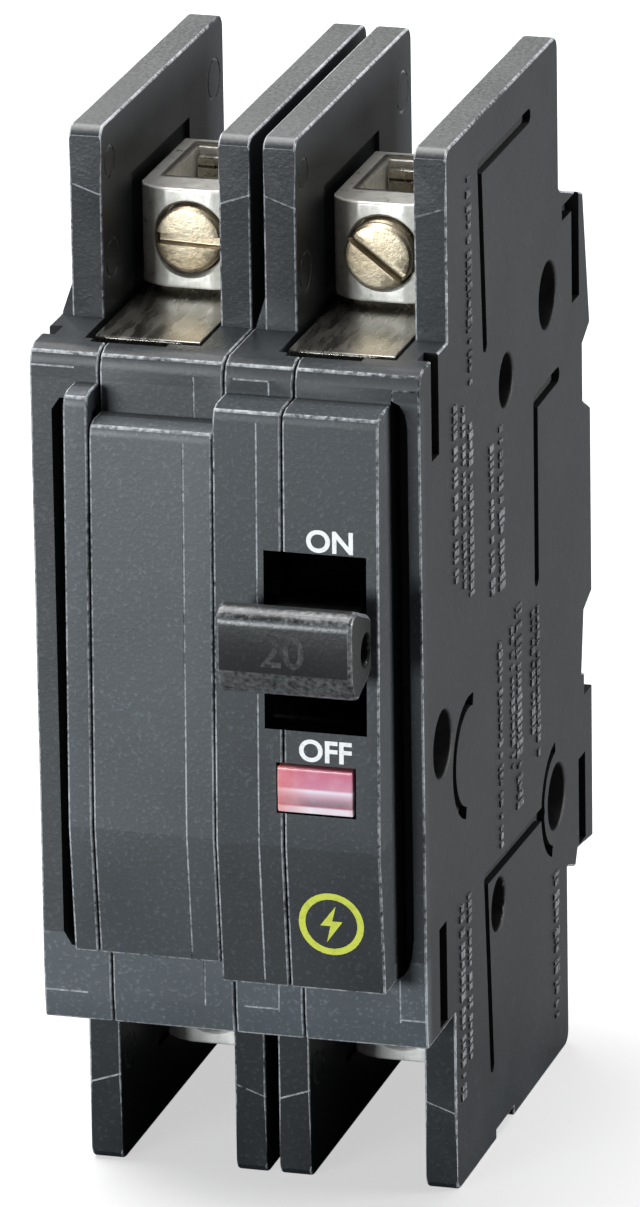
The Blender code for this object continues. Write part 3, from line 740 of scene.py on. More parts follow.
class Finishes:
    """Every material of the breaker."""

    def __init__(self) -> None:
        """Builds the materials."""
        effects = Effects()
        self.case = MouldedFinish(
            "case black", (0.0155, 0.0182, 0.0205), (0.46, 0.48, 0.50), roughness=0.25, speck=0.5, bump=0.4,
            dust_amount=0.34, nose_sheen_tones=(2.1, 2.9), step_sheen_tones=(3.6, 1.6), right_sheen_share=0.65, right_dull=0.25,
            handled_matt=0.20, side_matt=0.14, sheltered_dull=0.75).make(effects)
        self.handle = MouldedFinish(
            "handle black", (0.012, 0.013, 0.0135), (0.45, 0.46, 0.47), roughness=0.30, wear_highlight_strength=0.35,
            fineness=2000.0, bump=0.5, speck=0.5, dust_amount=0.25).make(effects)
        # A near black matt with no shine: the hub and its skirt are painted as the shadow deep in the window.
        self.hub = MouldedFinish(
            "handle hub painted shadow", (0.0005, 0.0005, 0.0005), (0.01, 0.01, 0.01), roughness=0.7,
            wear_highlight_strength=0.2, dust_amount=0.0, speck=0.0, specular=0.0).make(effects)
        self.trip = MouldedFinish(
            "trip plastic", (0.42, 0.40, 0.33), (0.55, 0.53, 0.46), wear_highlight_strength=0.2).make(effects)
        self.tin = MetalFinish(
            "lug tin", (0.95, 0.93, 0.86), (0.60, 0.55, 0.42), roughness=0.26, stain_share=0.25, metallic=0.3,
            painted_shade=0.75).make(effects)
        self.dull_tin = MetalFinish(
            "dull tin", (0.93, 0.92, 0.89), (0.70, 0.68, 0.60), roughness=0.45, stain_share=0.2,
            metallic=0.1).make(effects)
        self.strap = MetalFinish(
            "strap tin", (0.50, 0.48, 0.43), (0.16, 0.14, 0.09), roughness=0.20, scratch=(1.0, 0.15, 1.0),
            painted_shade=0.3).make(effects)
        self.screw = MetalFinish(
            "screw plate", (0.52, 0.45, 0.33), (0.38, 0.27, 0.15), roughness=0.36, fineness=1300.0, bump=1.0,
            scratch=(2.6, 2.6, 2.6), stain_share=0.6).make(effects)
        self.steel = MetalFinish(
            "zinc steel", (0.56, 0.57, 0.58), (0.34, 0.33, 0.30), roughness=0.34).make(effects)
        self.copper = MetalFinish(
            "copper", (0.80, 0.42, 0.28), (0.40, 0.20, 0.12), roughness=0.30).make(effects)
        self.silver = MetalFinish(
            "silver", (0.88, 0.87, 0.84), (0.45, 0.42, 0.38), roughness=0.24).make(effects)
        self.legend = PaintFinish("legend ink", (0.90, 0.90, 0.90)).make(effects)
        self.badge = PaintFinish("badge ink", (0.60, 0.66, 0.07)).make(effects)
        self.flag = PaintFinish("flag red", (0.80, 0.05, 0.04)).make(effects)
        self.lens = LensFinish("lens red", (0.74, 0.17, 0.14), middle=45.85, half=2.25).make(effects)


# --- sizes that several sub-assemblies share ------------------------------------------------------
PITCH = 19.05
SIDES = ("left", "right")
POLE_LEFT = {"left": -PITCH, "right": 0.0}
SEAM = 6.85
CHAMBER = (4.38, 15.87)
CHAMBER_MIDDLE = 10.13
NOSE_BEVEL = 1.3


def across(side: str, low: float, high: float) -> Span:
    """Limits across a pole as X limits."""
    return (POLE_LEFT[side] + low, POLE_LEFT[side] + high)


class Half(Enum):
    """The two mouldings of a pole."""

    COVER = "cover"
    BASE = "base"


@dataclass(frozen=True)
class Nose:
    """The raised front of a pole."""

    x: Span
    front: Triple
    bottom: float
    tops: dict[Half, float]


NOSES = {
    "left": Nose((4.4, 18.9), (-27.8, -29.0, -27.8), 27.0, {Half.COVER: 82.7, Half.BASE: 80.0}),
    "right": Nose((0.15, 16.25), (-28.4, -29.7, -28.4), 25.4, {Half.COVER: 82.7, Half.BASE: 82.7}),
}


# --- case ---------------------------------------------------------------------------------------
@dataclass
class CaseHalf:
    """One moulded half of one pole."""

    side: str
    half: Half
    finishes: Finishes
    seam_gap: float = 0.16
    wall: float = 1.6
    step_front: float = -24.0
    shelf: float = 85.9
    bottom: float = 18.4
    floor: float = 84.6
    ceiling: float = 19.9
    ear_front: float = -14.0
    ear_backs: Span = (26.5, 27.7)
    height: float = 104.6
    round_over: float = 0.20
    line: float = 0.19
    line_depth: float = 0.05
    ear_corner: float = 1.3
    drawn_back: float = 0.12
    foot_notch: Span = (0.4, 6.8)
    foot_notch_height: float = 0.9
    ejectors: tuple[Triple, ...] = (
        (-11.3, 100.6, 1.5), (-11.0, 91.0, 1.9), (23.2, 98.8, 2.0), (-10.8, 10.5, 1.7), (23.0, 6.5, 1.9))
    pockets: tuple[tuple[Span, Span], ...] = (((-4.4, 14.8), (80.0, 97.4)), ((-1.4, 17.4), (7.2, 19.0)))
    rivets: tuple[Triple, ...] = (
        (22.2, 79.5, 3.3), (6.7, 75.7, 2.6), (23.9, 27.2, 3.3), (2.0, 23.8, 2.6), (-17.3, 47.0, 3.25))

    @property
    def outer(self) -> bool:
        """Whether the half has one of the breaker's two outer sides."""
        return (self.side, self.half) in (("left", Half.COVER), ("right", Half.BASE))

    @property
    def wall_x(self) -> float:
        """X of the half's outermost face."""
        if self.outer:
            return -PITCH if self.side == "left" else PITCH
        return 0.0

    @property
    def inward(self) -> float:
        """Direction along X from the outer face into the half."""
        return 1.0 if self.half is Half.COVER else -1.0

    def limits(self) -> Span:
        """How far the half reaches across its pole."""
        gap = self.seam_gap / 2
        if self.half is Half.COVER:
            return (0.0 if self.outer else gap, SEAM - gap)
        return (SEAM + gap, PITCH if self.outer else PITCH - gap)

    def body(self) -> Solid:
        """The block behind the nose, with its rail grooves."""
        outline = [
            (self.step_front + 0.3, self.bottom), (28.0, self.bottom), (30.9, 17.4), (31.8, 19.0),
            (37.6, 18.3), (37.7, 35.2), (33.8, 36.8), (34.8, 43.0), (37.9, 44.1), (37.9, 63.2),
            (35.0, 64.8), (35.0, 70.6), (37.9, 72.0), (35.6, 86.0), (27.0, 88.7), (26.5, 89.2),
            (16.5, 89.2), (16.5, self.shelf), (self.step_front + 1.6, self.shelf),
            (self.step_front + 0.5, 85.4), (self.step_front, 84.2), (self.step_front, 21.2),
        ]
        body = Solid.prism(outline, *across(self.side, *self.limits()))
        return body.soften(self.round_over, angle=SHARP_ANGLE)

    def nose(self) -> Solid:
        """The half's share of the raised front."""
        nose = NOSES[self.side]
        low, high = self.limits()
        top = nose.tops[self.half]
        at_top, at_crease, at_bottom = nose.front
        outline = [(-20.0, nose.bottom), (at_bottom, nose.bottom), (at_crease, CREASE),
                   (at_top, top - NOSE_BEVEL), (at_top + 0.35, top - 0.35), (at_top + NOSE_BEVEL, top),
                   (-20.0, top)]
        limits = across(self.side, max(low, nose.x[0]), min(high, nose.x[1]))
        return Solid.prism(outline, *limits).soften(0.21, angle=SHARP_ANGLE)

    def ear_limits(self) -> Span:
        """How far the half's ears reach across the pole."""
        if self.half is Half.COVER:
            return (1.2, CHAMBER[0])
        return (CHAMBER[1], PITCH if self.outer else PITCH - self.seam_gap / 2)

    def ear(self, upper: bool) -> Solid:
        """One barrier ear, with a slanting crease across its front where its tip draws back.

        Args:
            upper: whether it is the upper ear.

        Returns:
            The ear, its foot inside the body.
        """
        low, high = across(self.side, *self.ear_limits())
        front, back, corner = self.ear_front, self.ear_backs[0 if upper else 1], self.ear_corner
        tip, foot = (self.height, 84.2) if upper else (0.0, 20.0)
        inward = -1.0 if upper else 1.0
        level = tip + inward * corner
        mid, last = (90, 0) if upper else (270, 360)
        edge = [(front, foot), (front, level)]
        edge += arc((front + corner, level), corner, 180, mid, 5)[1:]
        if not upper and self.outer and self.half is Half.BASE:
            start, end = self.foot_notch
            raised = self.foot_notch_height
            edge += [(start, 0.0), (start, raised), (end, raised), (end, 0.0)]
        edge += arc((back - corner, level), corner, mid, last, 5)
        edge.append((back, foot))
        ear = Solid.prism(edge, low, high).soften(self.round_over, angle=SHARP_ANGLE)
        outer_z, inner_z = (99.3, 97.5) if upper else (7.6, 9.4)
        at_low, at_high = (outer_z, inner_z) if self.half is Half.COVER else (inner_z, outer_z)
        crease = [(low - 1, at_low), (high + 1, at_high), (high + 1, at_high + self.line),
                  (low - 1, at_low + self.line)]
        # The crease line is marked pale, painting the highlight along the crease as well as scuffing.
        groove = Solid.prism(crease, front - 1, front + 0.10, Plane.FRONT).mark(0.9)
        beyond = tip - inward * 2
        wedge = [(low - 1, at_low), (high + 1, at_high), (high + 1, beyond), (low - 1, beyond)]
        drawn_back = Solid.prism(wedge, front - 1, front, Plane.FRONT)
        for vert in drawn_back.bm.verts:
            if vert.co.y > front - 0.5 and abs(vert.co.z - beyond) < 0.01:
                vert.co.y += self.drawn_back
        return ear.cut(drawn_back, groove)

    def ear_marks(self) -> list[Solid]:
        """Ejector circles and the shallow pocket beside the lug, on the chamber side of each ear; the pocket
        is painted dark as shade.
        """
        face = POLE_LEFT[self.side] + (CHAMBER[0] if self.half is Half.COVER else CHAMBER[1])
        rings = [Solid.prism(ring_sector((y, z), radius, 0.28, 0, 359.5), face - 0.12, face + 0.12).mark(0.8)
                 for y, z, radius in self.ejectors]
        return rings + [Solid.block((face - 0.45, face + 0.45), y, z).mark(-0.5) for y, z in self.pockets]

    def flare(self) -> Solid:
        """The slope where the outer ear meets the body."""
        low = self.limits()[0] if self.half is Half.COVER else 0.0
        outline = [(low + 0.1, 85.5), (low + 0.25, 86.3), (1.25, 89.2), (2.0, 89.2), (2.0, 85.0),
                   (low + 0.1, 85.0)]
        left = POLE_LEFT[self.side]
        return Solid.prism([(left + x, z) for x, z in outline], self.ear_front + 0.2, 16.0, Plane.FRONT)

    def openings(self) -> list[Solid]:
        """The cavity, the chambers and the strap slots."""
        low, high = (self.wall, SEAM + 1) if self.half is Half.COVER else (SEAM - 1, PITCH - 1.85)
        tools = [Solid.block(across(self.side, low, high), (-19.2, 30.6), (21.5, 82.4))]
        nose = NOSES[self.side]
        hollow = (5.9, 17.2) if self.side == "left" else (1.6, 14.8)
        x = across(self.side, max(low, hollow[0]), min(high, hollow[1]))
        wall = 2.2
        tools.append(Solid.block(x, (-26.2, -18.0), (nose.bottom + wall, nose.tops[self.half] - wall)))
        chamber = across(self.side, *CHAMBER)
        wide, slot, narrow = (across(self.side, CHAMBER_MIDDLE - left, CHAMBER_MIDDLE + right)
                              for left, right in ((5.5, 5.5), (4.9, 2.6), (3.5, 3.5)))
        return tools + [Solid.block(chamber, (-20.4, 16.5), (self.floor, 87.0)),
                        Solid.block(chamber, (-16.0, 18.4), (17.0, self.ceiling)),
                        # The strap slots are marked as recesses and painted near black as shade.
                        Solid.block(wide, (-20.25, -18.1), (79.2, 86.5)).mark(-1.0),
                        Solid.block(slot, (-21.4, -20.0), (82.0, 87.0)).mark(-1.0),
                        Solid.block(narrow, (16.2, 18.0), (19.0, 23.0))]

    def wall_holes(self) -> list[Solid]:
        """Rivet holes, and the shaft and trip bar holes between the poles."""
        tools = []
        length = 7.2 if self.outer else 4.4
        for y, z, radius in self.rivets:
            size = radius if self.outer else 1.9
            # Holes and their rims are marked as recesses and painted dark as shade.
            tools.append(Solid.drum((self.wall_x, y, z), size, length, segments=40).mark(-1.0))
            if self.outer:
                middle = self.wall_x + self.inward * 0.1
                rim = (size, size + 0.35) if self.inward > 0 else (size + 0.35, size)
                tools.append(Solid.drum((middle, y, z), rim[1], 0.4, tip=rim[0]).mark(-0.6))
        if not self.outer:
            tools += [Solid.drum((0, -15.0, 61.2), 2.1, length), Solid.drum((0, 28.0, 68.0), 2.3, length)]
        return tools

    def channel(self) -> Solid:
        """The recess beside the nose, rounded where it ends and painted dark as shade."""
        if self.side == "left":
            outline = [(2.1, 27.4), (2.9, 26.0), (4.4, 26.0), (4.4, 81.0), (2.9, 81.0), (2.1, 79.8)]
        else:
            outline = [(16.25, 25.5), (16.8, 25.8), (17.3, 26.6), (17.65, 27.8), (17.85, 29.6),
                       (17.85, 80.4), (17.6, 81.9), (17.1, 82.7), (16.25, 83.1)]
        left = POLE_LEFT[self.side]
        return Solid.prism([(left + x, z) for x, z in outline], -25.0, -21.0, Plane.FRONT).mark(-0.7)

    def front_lines(self) -> list[Solid]:
        """The fine parting lines down the front, worn pale."""
        places = {("left", Half.BASE): 16.1, ("right", Half.COVER): 4.38, ("right", Half.BASE): 16.4}
        line = places.get((self.side, self.half))
        tools = []
        nose = NOSES[self.side]
        deep = self.line_depth
        y = (-26.0, self.step_front + deep)
        if line is not None:
            x = across(self.side, line - self.line / 2, line + self.line / 2)
            at_top, at_crease, at_bottom = (value + deep for value in nose.front)
            top = nose.tops[self.half]
            tools += [Solid.block(x, y, z).mark() for z in ((top, 84.0), (21.0, nose.bottom))]
            if line < nose.x[1]:
                beyond = at_bottom + (at_bottom - at_crease) / (CREASE - nose.bottom)
                outline = [(-33.0, nose.bottom - 1), (beyond, nose.bottom - 1), (at_crease, CREASE),
                           (at_top, top - NOSE_BEVEL), (-33.0, top - NOSE_BEVEL)]
                tools.append(Solid.prism(outline, *x).mark())
        rims = {("left", Half.COVER): (-1, 4.4), ("right", Half.COVER): (0.9, 4.38),
                ("right", Half.BASE): (16.4, 20.0)}
        rim = rims.get((self.side, self.half))
        if rim is not None:
            x = across(self.side, *rim)
            for z in (21.3, 84.1):
                level = (z - self.line / 2, z + self.line / 2)
                tools.append(Solid.block(x, y, level).mark())
        return tools

    def window(self) -> list[Solid]:
        """The handle window and the lens opening of the right pole, their walls painted near black as shade.
        """
        return [Solid.block((5.05, 15.05), (-33.0, -25.0), (51.6, 69.1)).mark(-1.0),
                Solid.block((6.15, 13.95), (-33.0, -25.0), (43.35, 48.35)).mark(-1.0)]

    def side_grooves(self) -> list[Solid]:
        """Grooves and slots moulded into an outer side, painted dark inside as shade."""
        x = sorted((self.wall_x - self.inward, self.wall_x + self.inward * 0.75))
        deep_x = sorted((self.wall_x - self.inward, self.wall_x + self.inward * 1.35))
        paths = [
            ([(15.6, 99.5), (-2.2, 99.5), (-0.9, 81.6)], 1.5),
            ([(25.4, 70.4), (17.2, 70.2), (17.1, 52.2)], 1.6),
            ([(18.6, 27.4), (-2.6, 28.0), (-1.0, 8.2)], 1.4),
        ]
        tools = [Solid.groove(points, width, *x).mark(-0.7) for points, width in paths]
        tools.append(Solid.prism(ring_sector((23.9, 27.2), 5.4, 1.1, 95, 250), *x).mark(-0.7))
        tools.append(Solid.prism(ring_sector((-7.9, 42.6), 5.5, 1.2, 75, 255), *x).mark(-0.7))
        slots = [((-20.0, -17.4), (76.0, 86.9)), ((-19.4, -16.8), (18.9, 29.0)), ((31.1, 33.9), (76.0, 86.9)),
                 ((27.6, 33.9), (85.4, 86.9)), ((32.2, 34.8), (19.2, 28.2)), ((34.6, 38.5), (34.2, 36.2))]
        tools += [Solid.block(deep_x, y, z).mark(-1.0) for y, z in slots]
        return tools

    def clip_slots(self) -> list[Solid]:
        """The slots in the back that hold the rail clips."""
        x = across(self.side, 7.7, 15.3)
        return [Solid.block(x, (32.6, 39.0), (70.5, 84.4)), Solid.block(x, (32.6, 39.0), (16.0, 36.9))]

    def build(self) -> None:
        """Makes the half and fits it in place of its CAD node."""
        shell = self.body().join(self.nose(), self.ear(True), self.ear(False))
        if self.half is Half.COVER:
            shell.join(self.flare())
        tools = self.openings() + self.wall_holes() + self.ear_marks() + self.front_lines()
        if self.outer:
            tools += [self.channel(), *self.side_grooves()]
        if self.side == "right":
            tools += self.window()
        if self.half is Half.BASE:
            tools += self.clip_slots()
        shell.cut(*tools)
        node = f"{self.side}_pole_{self.half.value}"
        Fitting(node + "_moulding", "case", self.finishes.case, "case", (node,)).fit(shell)


@dataclass
class SideRelief:
    """Rows of small raised dashes on an outer side, in place of moulded text."""

    finishes: Finishes
    proud: float = 0.17
    columns: tuple[tuple[float, float, float, float], ...] = (
        (-6.6, 79.5, 99.6, 1.7), (-12.2, 61.5, 79.0, 1.6), (-9.3, 60.0, 78.0, 1.2), (-6.8, 58.5, 76.0, 1.5),
        (0.6, 56.0, 70.5, 1.5), (4.0, 55.5, 72.0, 2.0), (3.0, 29.4, 50.5, 1.5), (7.4, 36.0, 50.0, 1.3),
        (9.8, 31.2, 52.2, 2.2), (15.0, 37.0, 49.6, 1.3), (16.9, 34.0, 49.6, 1.3), (-11.6, 8.8, 29.0, 1.6),
        (-9.0, 12.0, 29.0, 1.2), (23.0, 4.4, 19.2, 1.9))
    body_z: Span = (20.0, 83.5)
    seed: int = 7

    def build(self) -> None:
        """Makes the dashes of both outer sides."""
        for side, wall, out in (("right", PITCH, 1.0), ("left", -PITCH, -1.0)):
            draws = random.Random(self.seed)
            bm = bmesh.new()
            x = sorted((wall - out * 0.2, wall + out * self.proud))
            for middle, bottom, top, tall in self.columns:
                place = bottom
                while place < top:
                    wide = draws.uniform(0.35, 0.75)
                    height = tall * draws.choice((0.6, 0.85, 1.0))
                    if side == "right" or self.body_z[0] < place < self.body_z[1]:
                        self._dash(bm, x, middle, height, place, wide)
                    place += wide + draws.choice((0.25, 0.3, 0.3, 0.8))
            # The dashes are marked pale, which paints the highlights on raised text as well as scuffing.
            piece = Solid(bm).mark(0.55)
            Fitting(f"{side}_side_relief", "case", self.finishes.case, "case").fit(piece)

    @staticmethod
    def _dash(bm: bmesh.types.BMesh, x: Sequence[float], middle: float, tall: float, place: float,
              wide: float) -> None:
        """One raised dash, narrower at its top."""
        size = Vector((x[1] - x[0], tall, wide))
        centre = Vector(((x[0] + x[1]) / 2, middle, place + wide / 2))
        made = bmesh.ops.create_cube(bm, size=1.0)["verts"]
        bmesh.ops.scale(bm, vec=size, verts=made)
        bmesh.ops.translate(bm, vec=centre, verts=made)


# --- handle, lens and front marks -----------------------------------------------------------------
@dataclass
class Handle:
    """The operating handle of the right pole, with the bar that ties both poles."""

    finishes: Finishes
    axis: Point = (-15.0, 61.2)
    bar_x: Span = (2.9, 16.1)
    hub_x: Span = (5.6, 14.5)
    front: float = -37.9
    back: float = -30.9
    hub_radius: float = 6.8
    bore: float = 2.1
    skirt: Triple = (10.1, 11.2, 48.0)
    tie_hole: Triple = (-33.0, 61.5, 1.5)
    tie_rim: float = 0.45
    lightened: float = 0.6

    def bar(self) -> Solid:
        """The finger bar with its rounded front edges, its lower bevel marked pale like the scuffed and
        highlighted edges.
        """
        front, back = self.front, self.back
        outline = [(back, 59.2), (back - 0.8, 58.6), (front + 2.4, 57.4), (front + 1.25, 57.75),
                   (front + 0.55, 58.7), (front, 60.2), (front, 64.6), (front + 0.35, 65.6),
                   (front + 1.1, 66.1), (front + 2.2, 66.2), (back - 0.8, 64.6), (back, 64.0)]
        bar = Solid.prism(outline, *self.bar_x).soften(0.38, 3, 28.0)
        bar.bm.normal_update()
        for face in bar.bm.faces:
            lower = face.normal.z < -0.2 and face.calc_center_median().y < front + 2.2
            if lower and face[bar.layer] == 0.0:
                face[bar.layer] = self.lightened
        return bar

    def build(self) -> None:
        """Makes the handle and its raised rating number."""
        y, z = self.axis
        low, high = self.hub_x
        middle = (low + high) / 2
        stem = Solid.block((low + 0.3, high - 0.3), (self.back - 2, y - 4), (z - 2.4, z + 2.4))
        hub = Solid.drum((middle, y, z), self.hub_radius, high - low, segments=64)
        inner, outer, half = self.skirt
        sector = arc(self.axis, outer, 180 - half, 180 + half, 33)
        sector += arc(self.axis, inner, 180 + half, 180 - half, 33)
        skirt = Solid.prism(sector, low + 0.1, high - 0.1)
        handle = self.bar().join(stem)
        hole_y, hole_z, hole = self.tie_hole
        rim = self.tie_rim
        rims = [Solid.drum((x, hole_y, hole_z), hole + grow, 0.6, segments=32, tip=hole + rim - grow)
                for x, grow in ((self.bar_x[0], rim), (self.bar_x[1], 0.0))]
        tie = Solid.drum((middle, hole_y, hole_z), hole, 20, segments=32)
        handle.cut(Solid.drum((middle, y, z), self.hub_radius + 0.1, 12), tie, *rims)
        hub.join(skirt).cut(Solid.drum((middle, y, z), self.bore, 12))
        Fitting("handle_moulding", "handle", self.finishes.handle, "handle", ("handle",)).fit(handle)
        Fitting("handle_hub", "handle", self.finishes.hub, "handle", ("handle",)).fit(hub)
        number = Lettering("20", 3.2, (9.4, self.front + 0.02, 60.9), 0.10, 0.0, spread=0.02).solid()
        Fitting("handle_rating_number", "handle", self.finishes.handle, "handle").fit(number.mark(0.45))


FONT_SIZE = 1.38


@dataclass(frozen=True)
class Lettering:
    """A short legend, standing on a front face.

    The place is the middle of its foot, tall the height of a capital, and lean how far the face leans,
    in millimetres per millimetre.
    """

    text: str
    tall: float
    place: Triple
    proud: float
    lean: float
    spread: float = 0.0

    def solid(self) -> Solid:
        """The legend's solid, made from a text curve."""
        curve = bpy.data.curves.new(self.text, "FONT")
        curve.body = self.text
        curve.align_x = "CENTER"
        curve.size = self.tall * FONT_SIZE
        curve.offset = self.spread * self.tall
        curve.extrude = self.proud / 2
        curve.resolution_u = 6
        guide = add_object(self.text, curve)
        bm = shape_of(guide)
        bpy.data.objects.remove(guide, do_unlink=True)
        bmesh.ops.remove_doubles(bm, verts=bm.verts, dist=0.0005)
        bmesh.ops.recalc_face_normals(bm, faces=bm.faces)
        upright = Matrix.Rotation(math.radians(90) - math.atan(self.lean), 4, "X")
        return Solid(bm).bend(Matrix.Translation(self.place) @ upright)


@dataclass
class FrontMarks:
    """The lens, the switch legends and the badge on the right pole's nose."""

    finishes: Finishes
    lens_x: Span = (6.35, 13.75)
    lens_z: Span = (43.6, 48.1)
    lens_front: float = -29.95
    ink: float = 0.05
    crown: float = 0.08
    badge_centre: Point = (11.2, 32.4)

    def front_at(self, z: float) -> float:
        """Y of the right pole's nose at a height."""
        nose = NOSES["right"]
        at_top, at_crease, at_bottom = nose.front
        if z > CREASE:
            return at_crease + (at_top - at_crease) * (z - CREASE) / self.upper_front
        return at_crease + (at_bottom - at_crease) * (CREASE - z) / (CREASE - nose.bottom)

    @property
    def upper_front(self) -> float:
        """How tall the nose's front is above the crease."""
        return NOSES["right"].tops[Half.BASE] - NOSE_BEVEL - CREASE

    def build(self) -> None:
        """Makes the lens, the legends and the badge."""
        self.lens()
        at_top, at_crease, _ = NOSES["right"].front
        lean = (at_top - at_crease) / self.upper_front
        for text, x, z, tall in (("ON", 11.55, 69.35, 2.15), ("OFF", 10.95, 48.75, 2.15)):
            place = (x, self.front_at(z) + 0.01, z)
            legend = Lettering(text, tall, place, self.ink, lean, spread=0.035)
            Fitting(f"legend_{text.lower()}", "case", self.finishes.legend, "case").fit(legend.solid())
        self.badge()

    def lens(self) -> None:
        """A slightly crowned red window with a stepped edge."""
        y, (low, high) = self.lens_front, self.lens_z
        middle, reach = (low + high) / 2, (high - low) / 2
        crown = [(y + self.crown * ((z - middle) / reach) ** 2, z)
                 for z in (low + (high - low) * i / 12 for i in range(13))]
        lens = Solid.prism([(-27.4, low), *crown, (-27.4, high)], *self.lens_x).soften(0.15, 2, 40.0)
        Fitting("indicator_window", "case", self.finishes.lens, "lens", ("indicator_lens",)).fit(lens)

    def badge(self) -> None:
        """A plain round badge with a bolt, in the badge's colour."""
        centre, radius, inner, half = self.badge_centre, 3.2, 2.55, 0.03
        ring = Solid.prism(arc(centre, radius, 0, 351, 40), -half, half, Plane.FRONT)
        ring.cut(Solid.prism(arc(centre, inner, 0, 351, 40), -1, 1, Plane.FRONT))
        bolt = [(0.5, 1.9), (-1.1, -0.2), (-0.1, -0.2), (-0.5, -1.9), (1.1, 0.3), (0.1, 0.3)]
        shape = Solid.prism([(centre[0] + x, centre[1] + z) for x, z in bolt], -half, half, Plane.FRONT)
        nose = NOSES["right"]
        lean = (nose.front[2] - nose.front[1]) / (CREASE - nose.bottom)
        for name, solid in (("badge_ring", ring), ("badge_bolt", shape)):
            for vert in solid.bm.verts:
                vert.co.y += self.front_at(centre[1]) - lean * (vert.co.z - centre[1]) - 0.01
            Fitting(name, "case", self.finishes.badge, "case").fit(solid)


# --- terminals ------------------------------------------------------------------------------------
# How far each screw's head stands out of its lug, and how far its slot is turned in degrees.
SCREWS = {("line", "left"): (0.5, 2.0), ("line", "right"): (1.6, 38.0),
          ("load", "left"): (0.8, 24.0), ("load", "right"): (0.8, -31.0)}


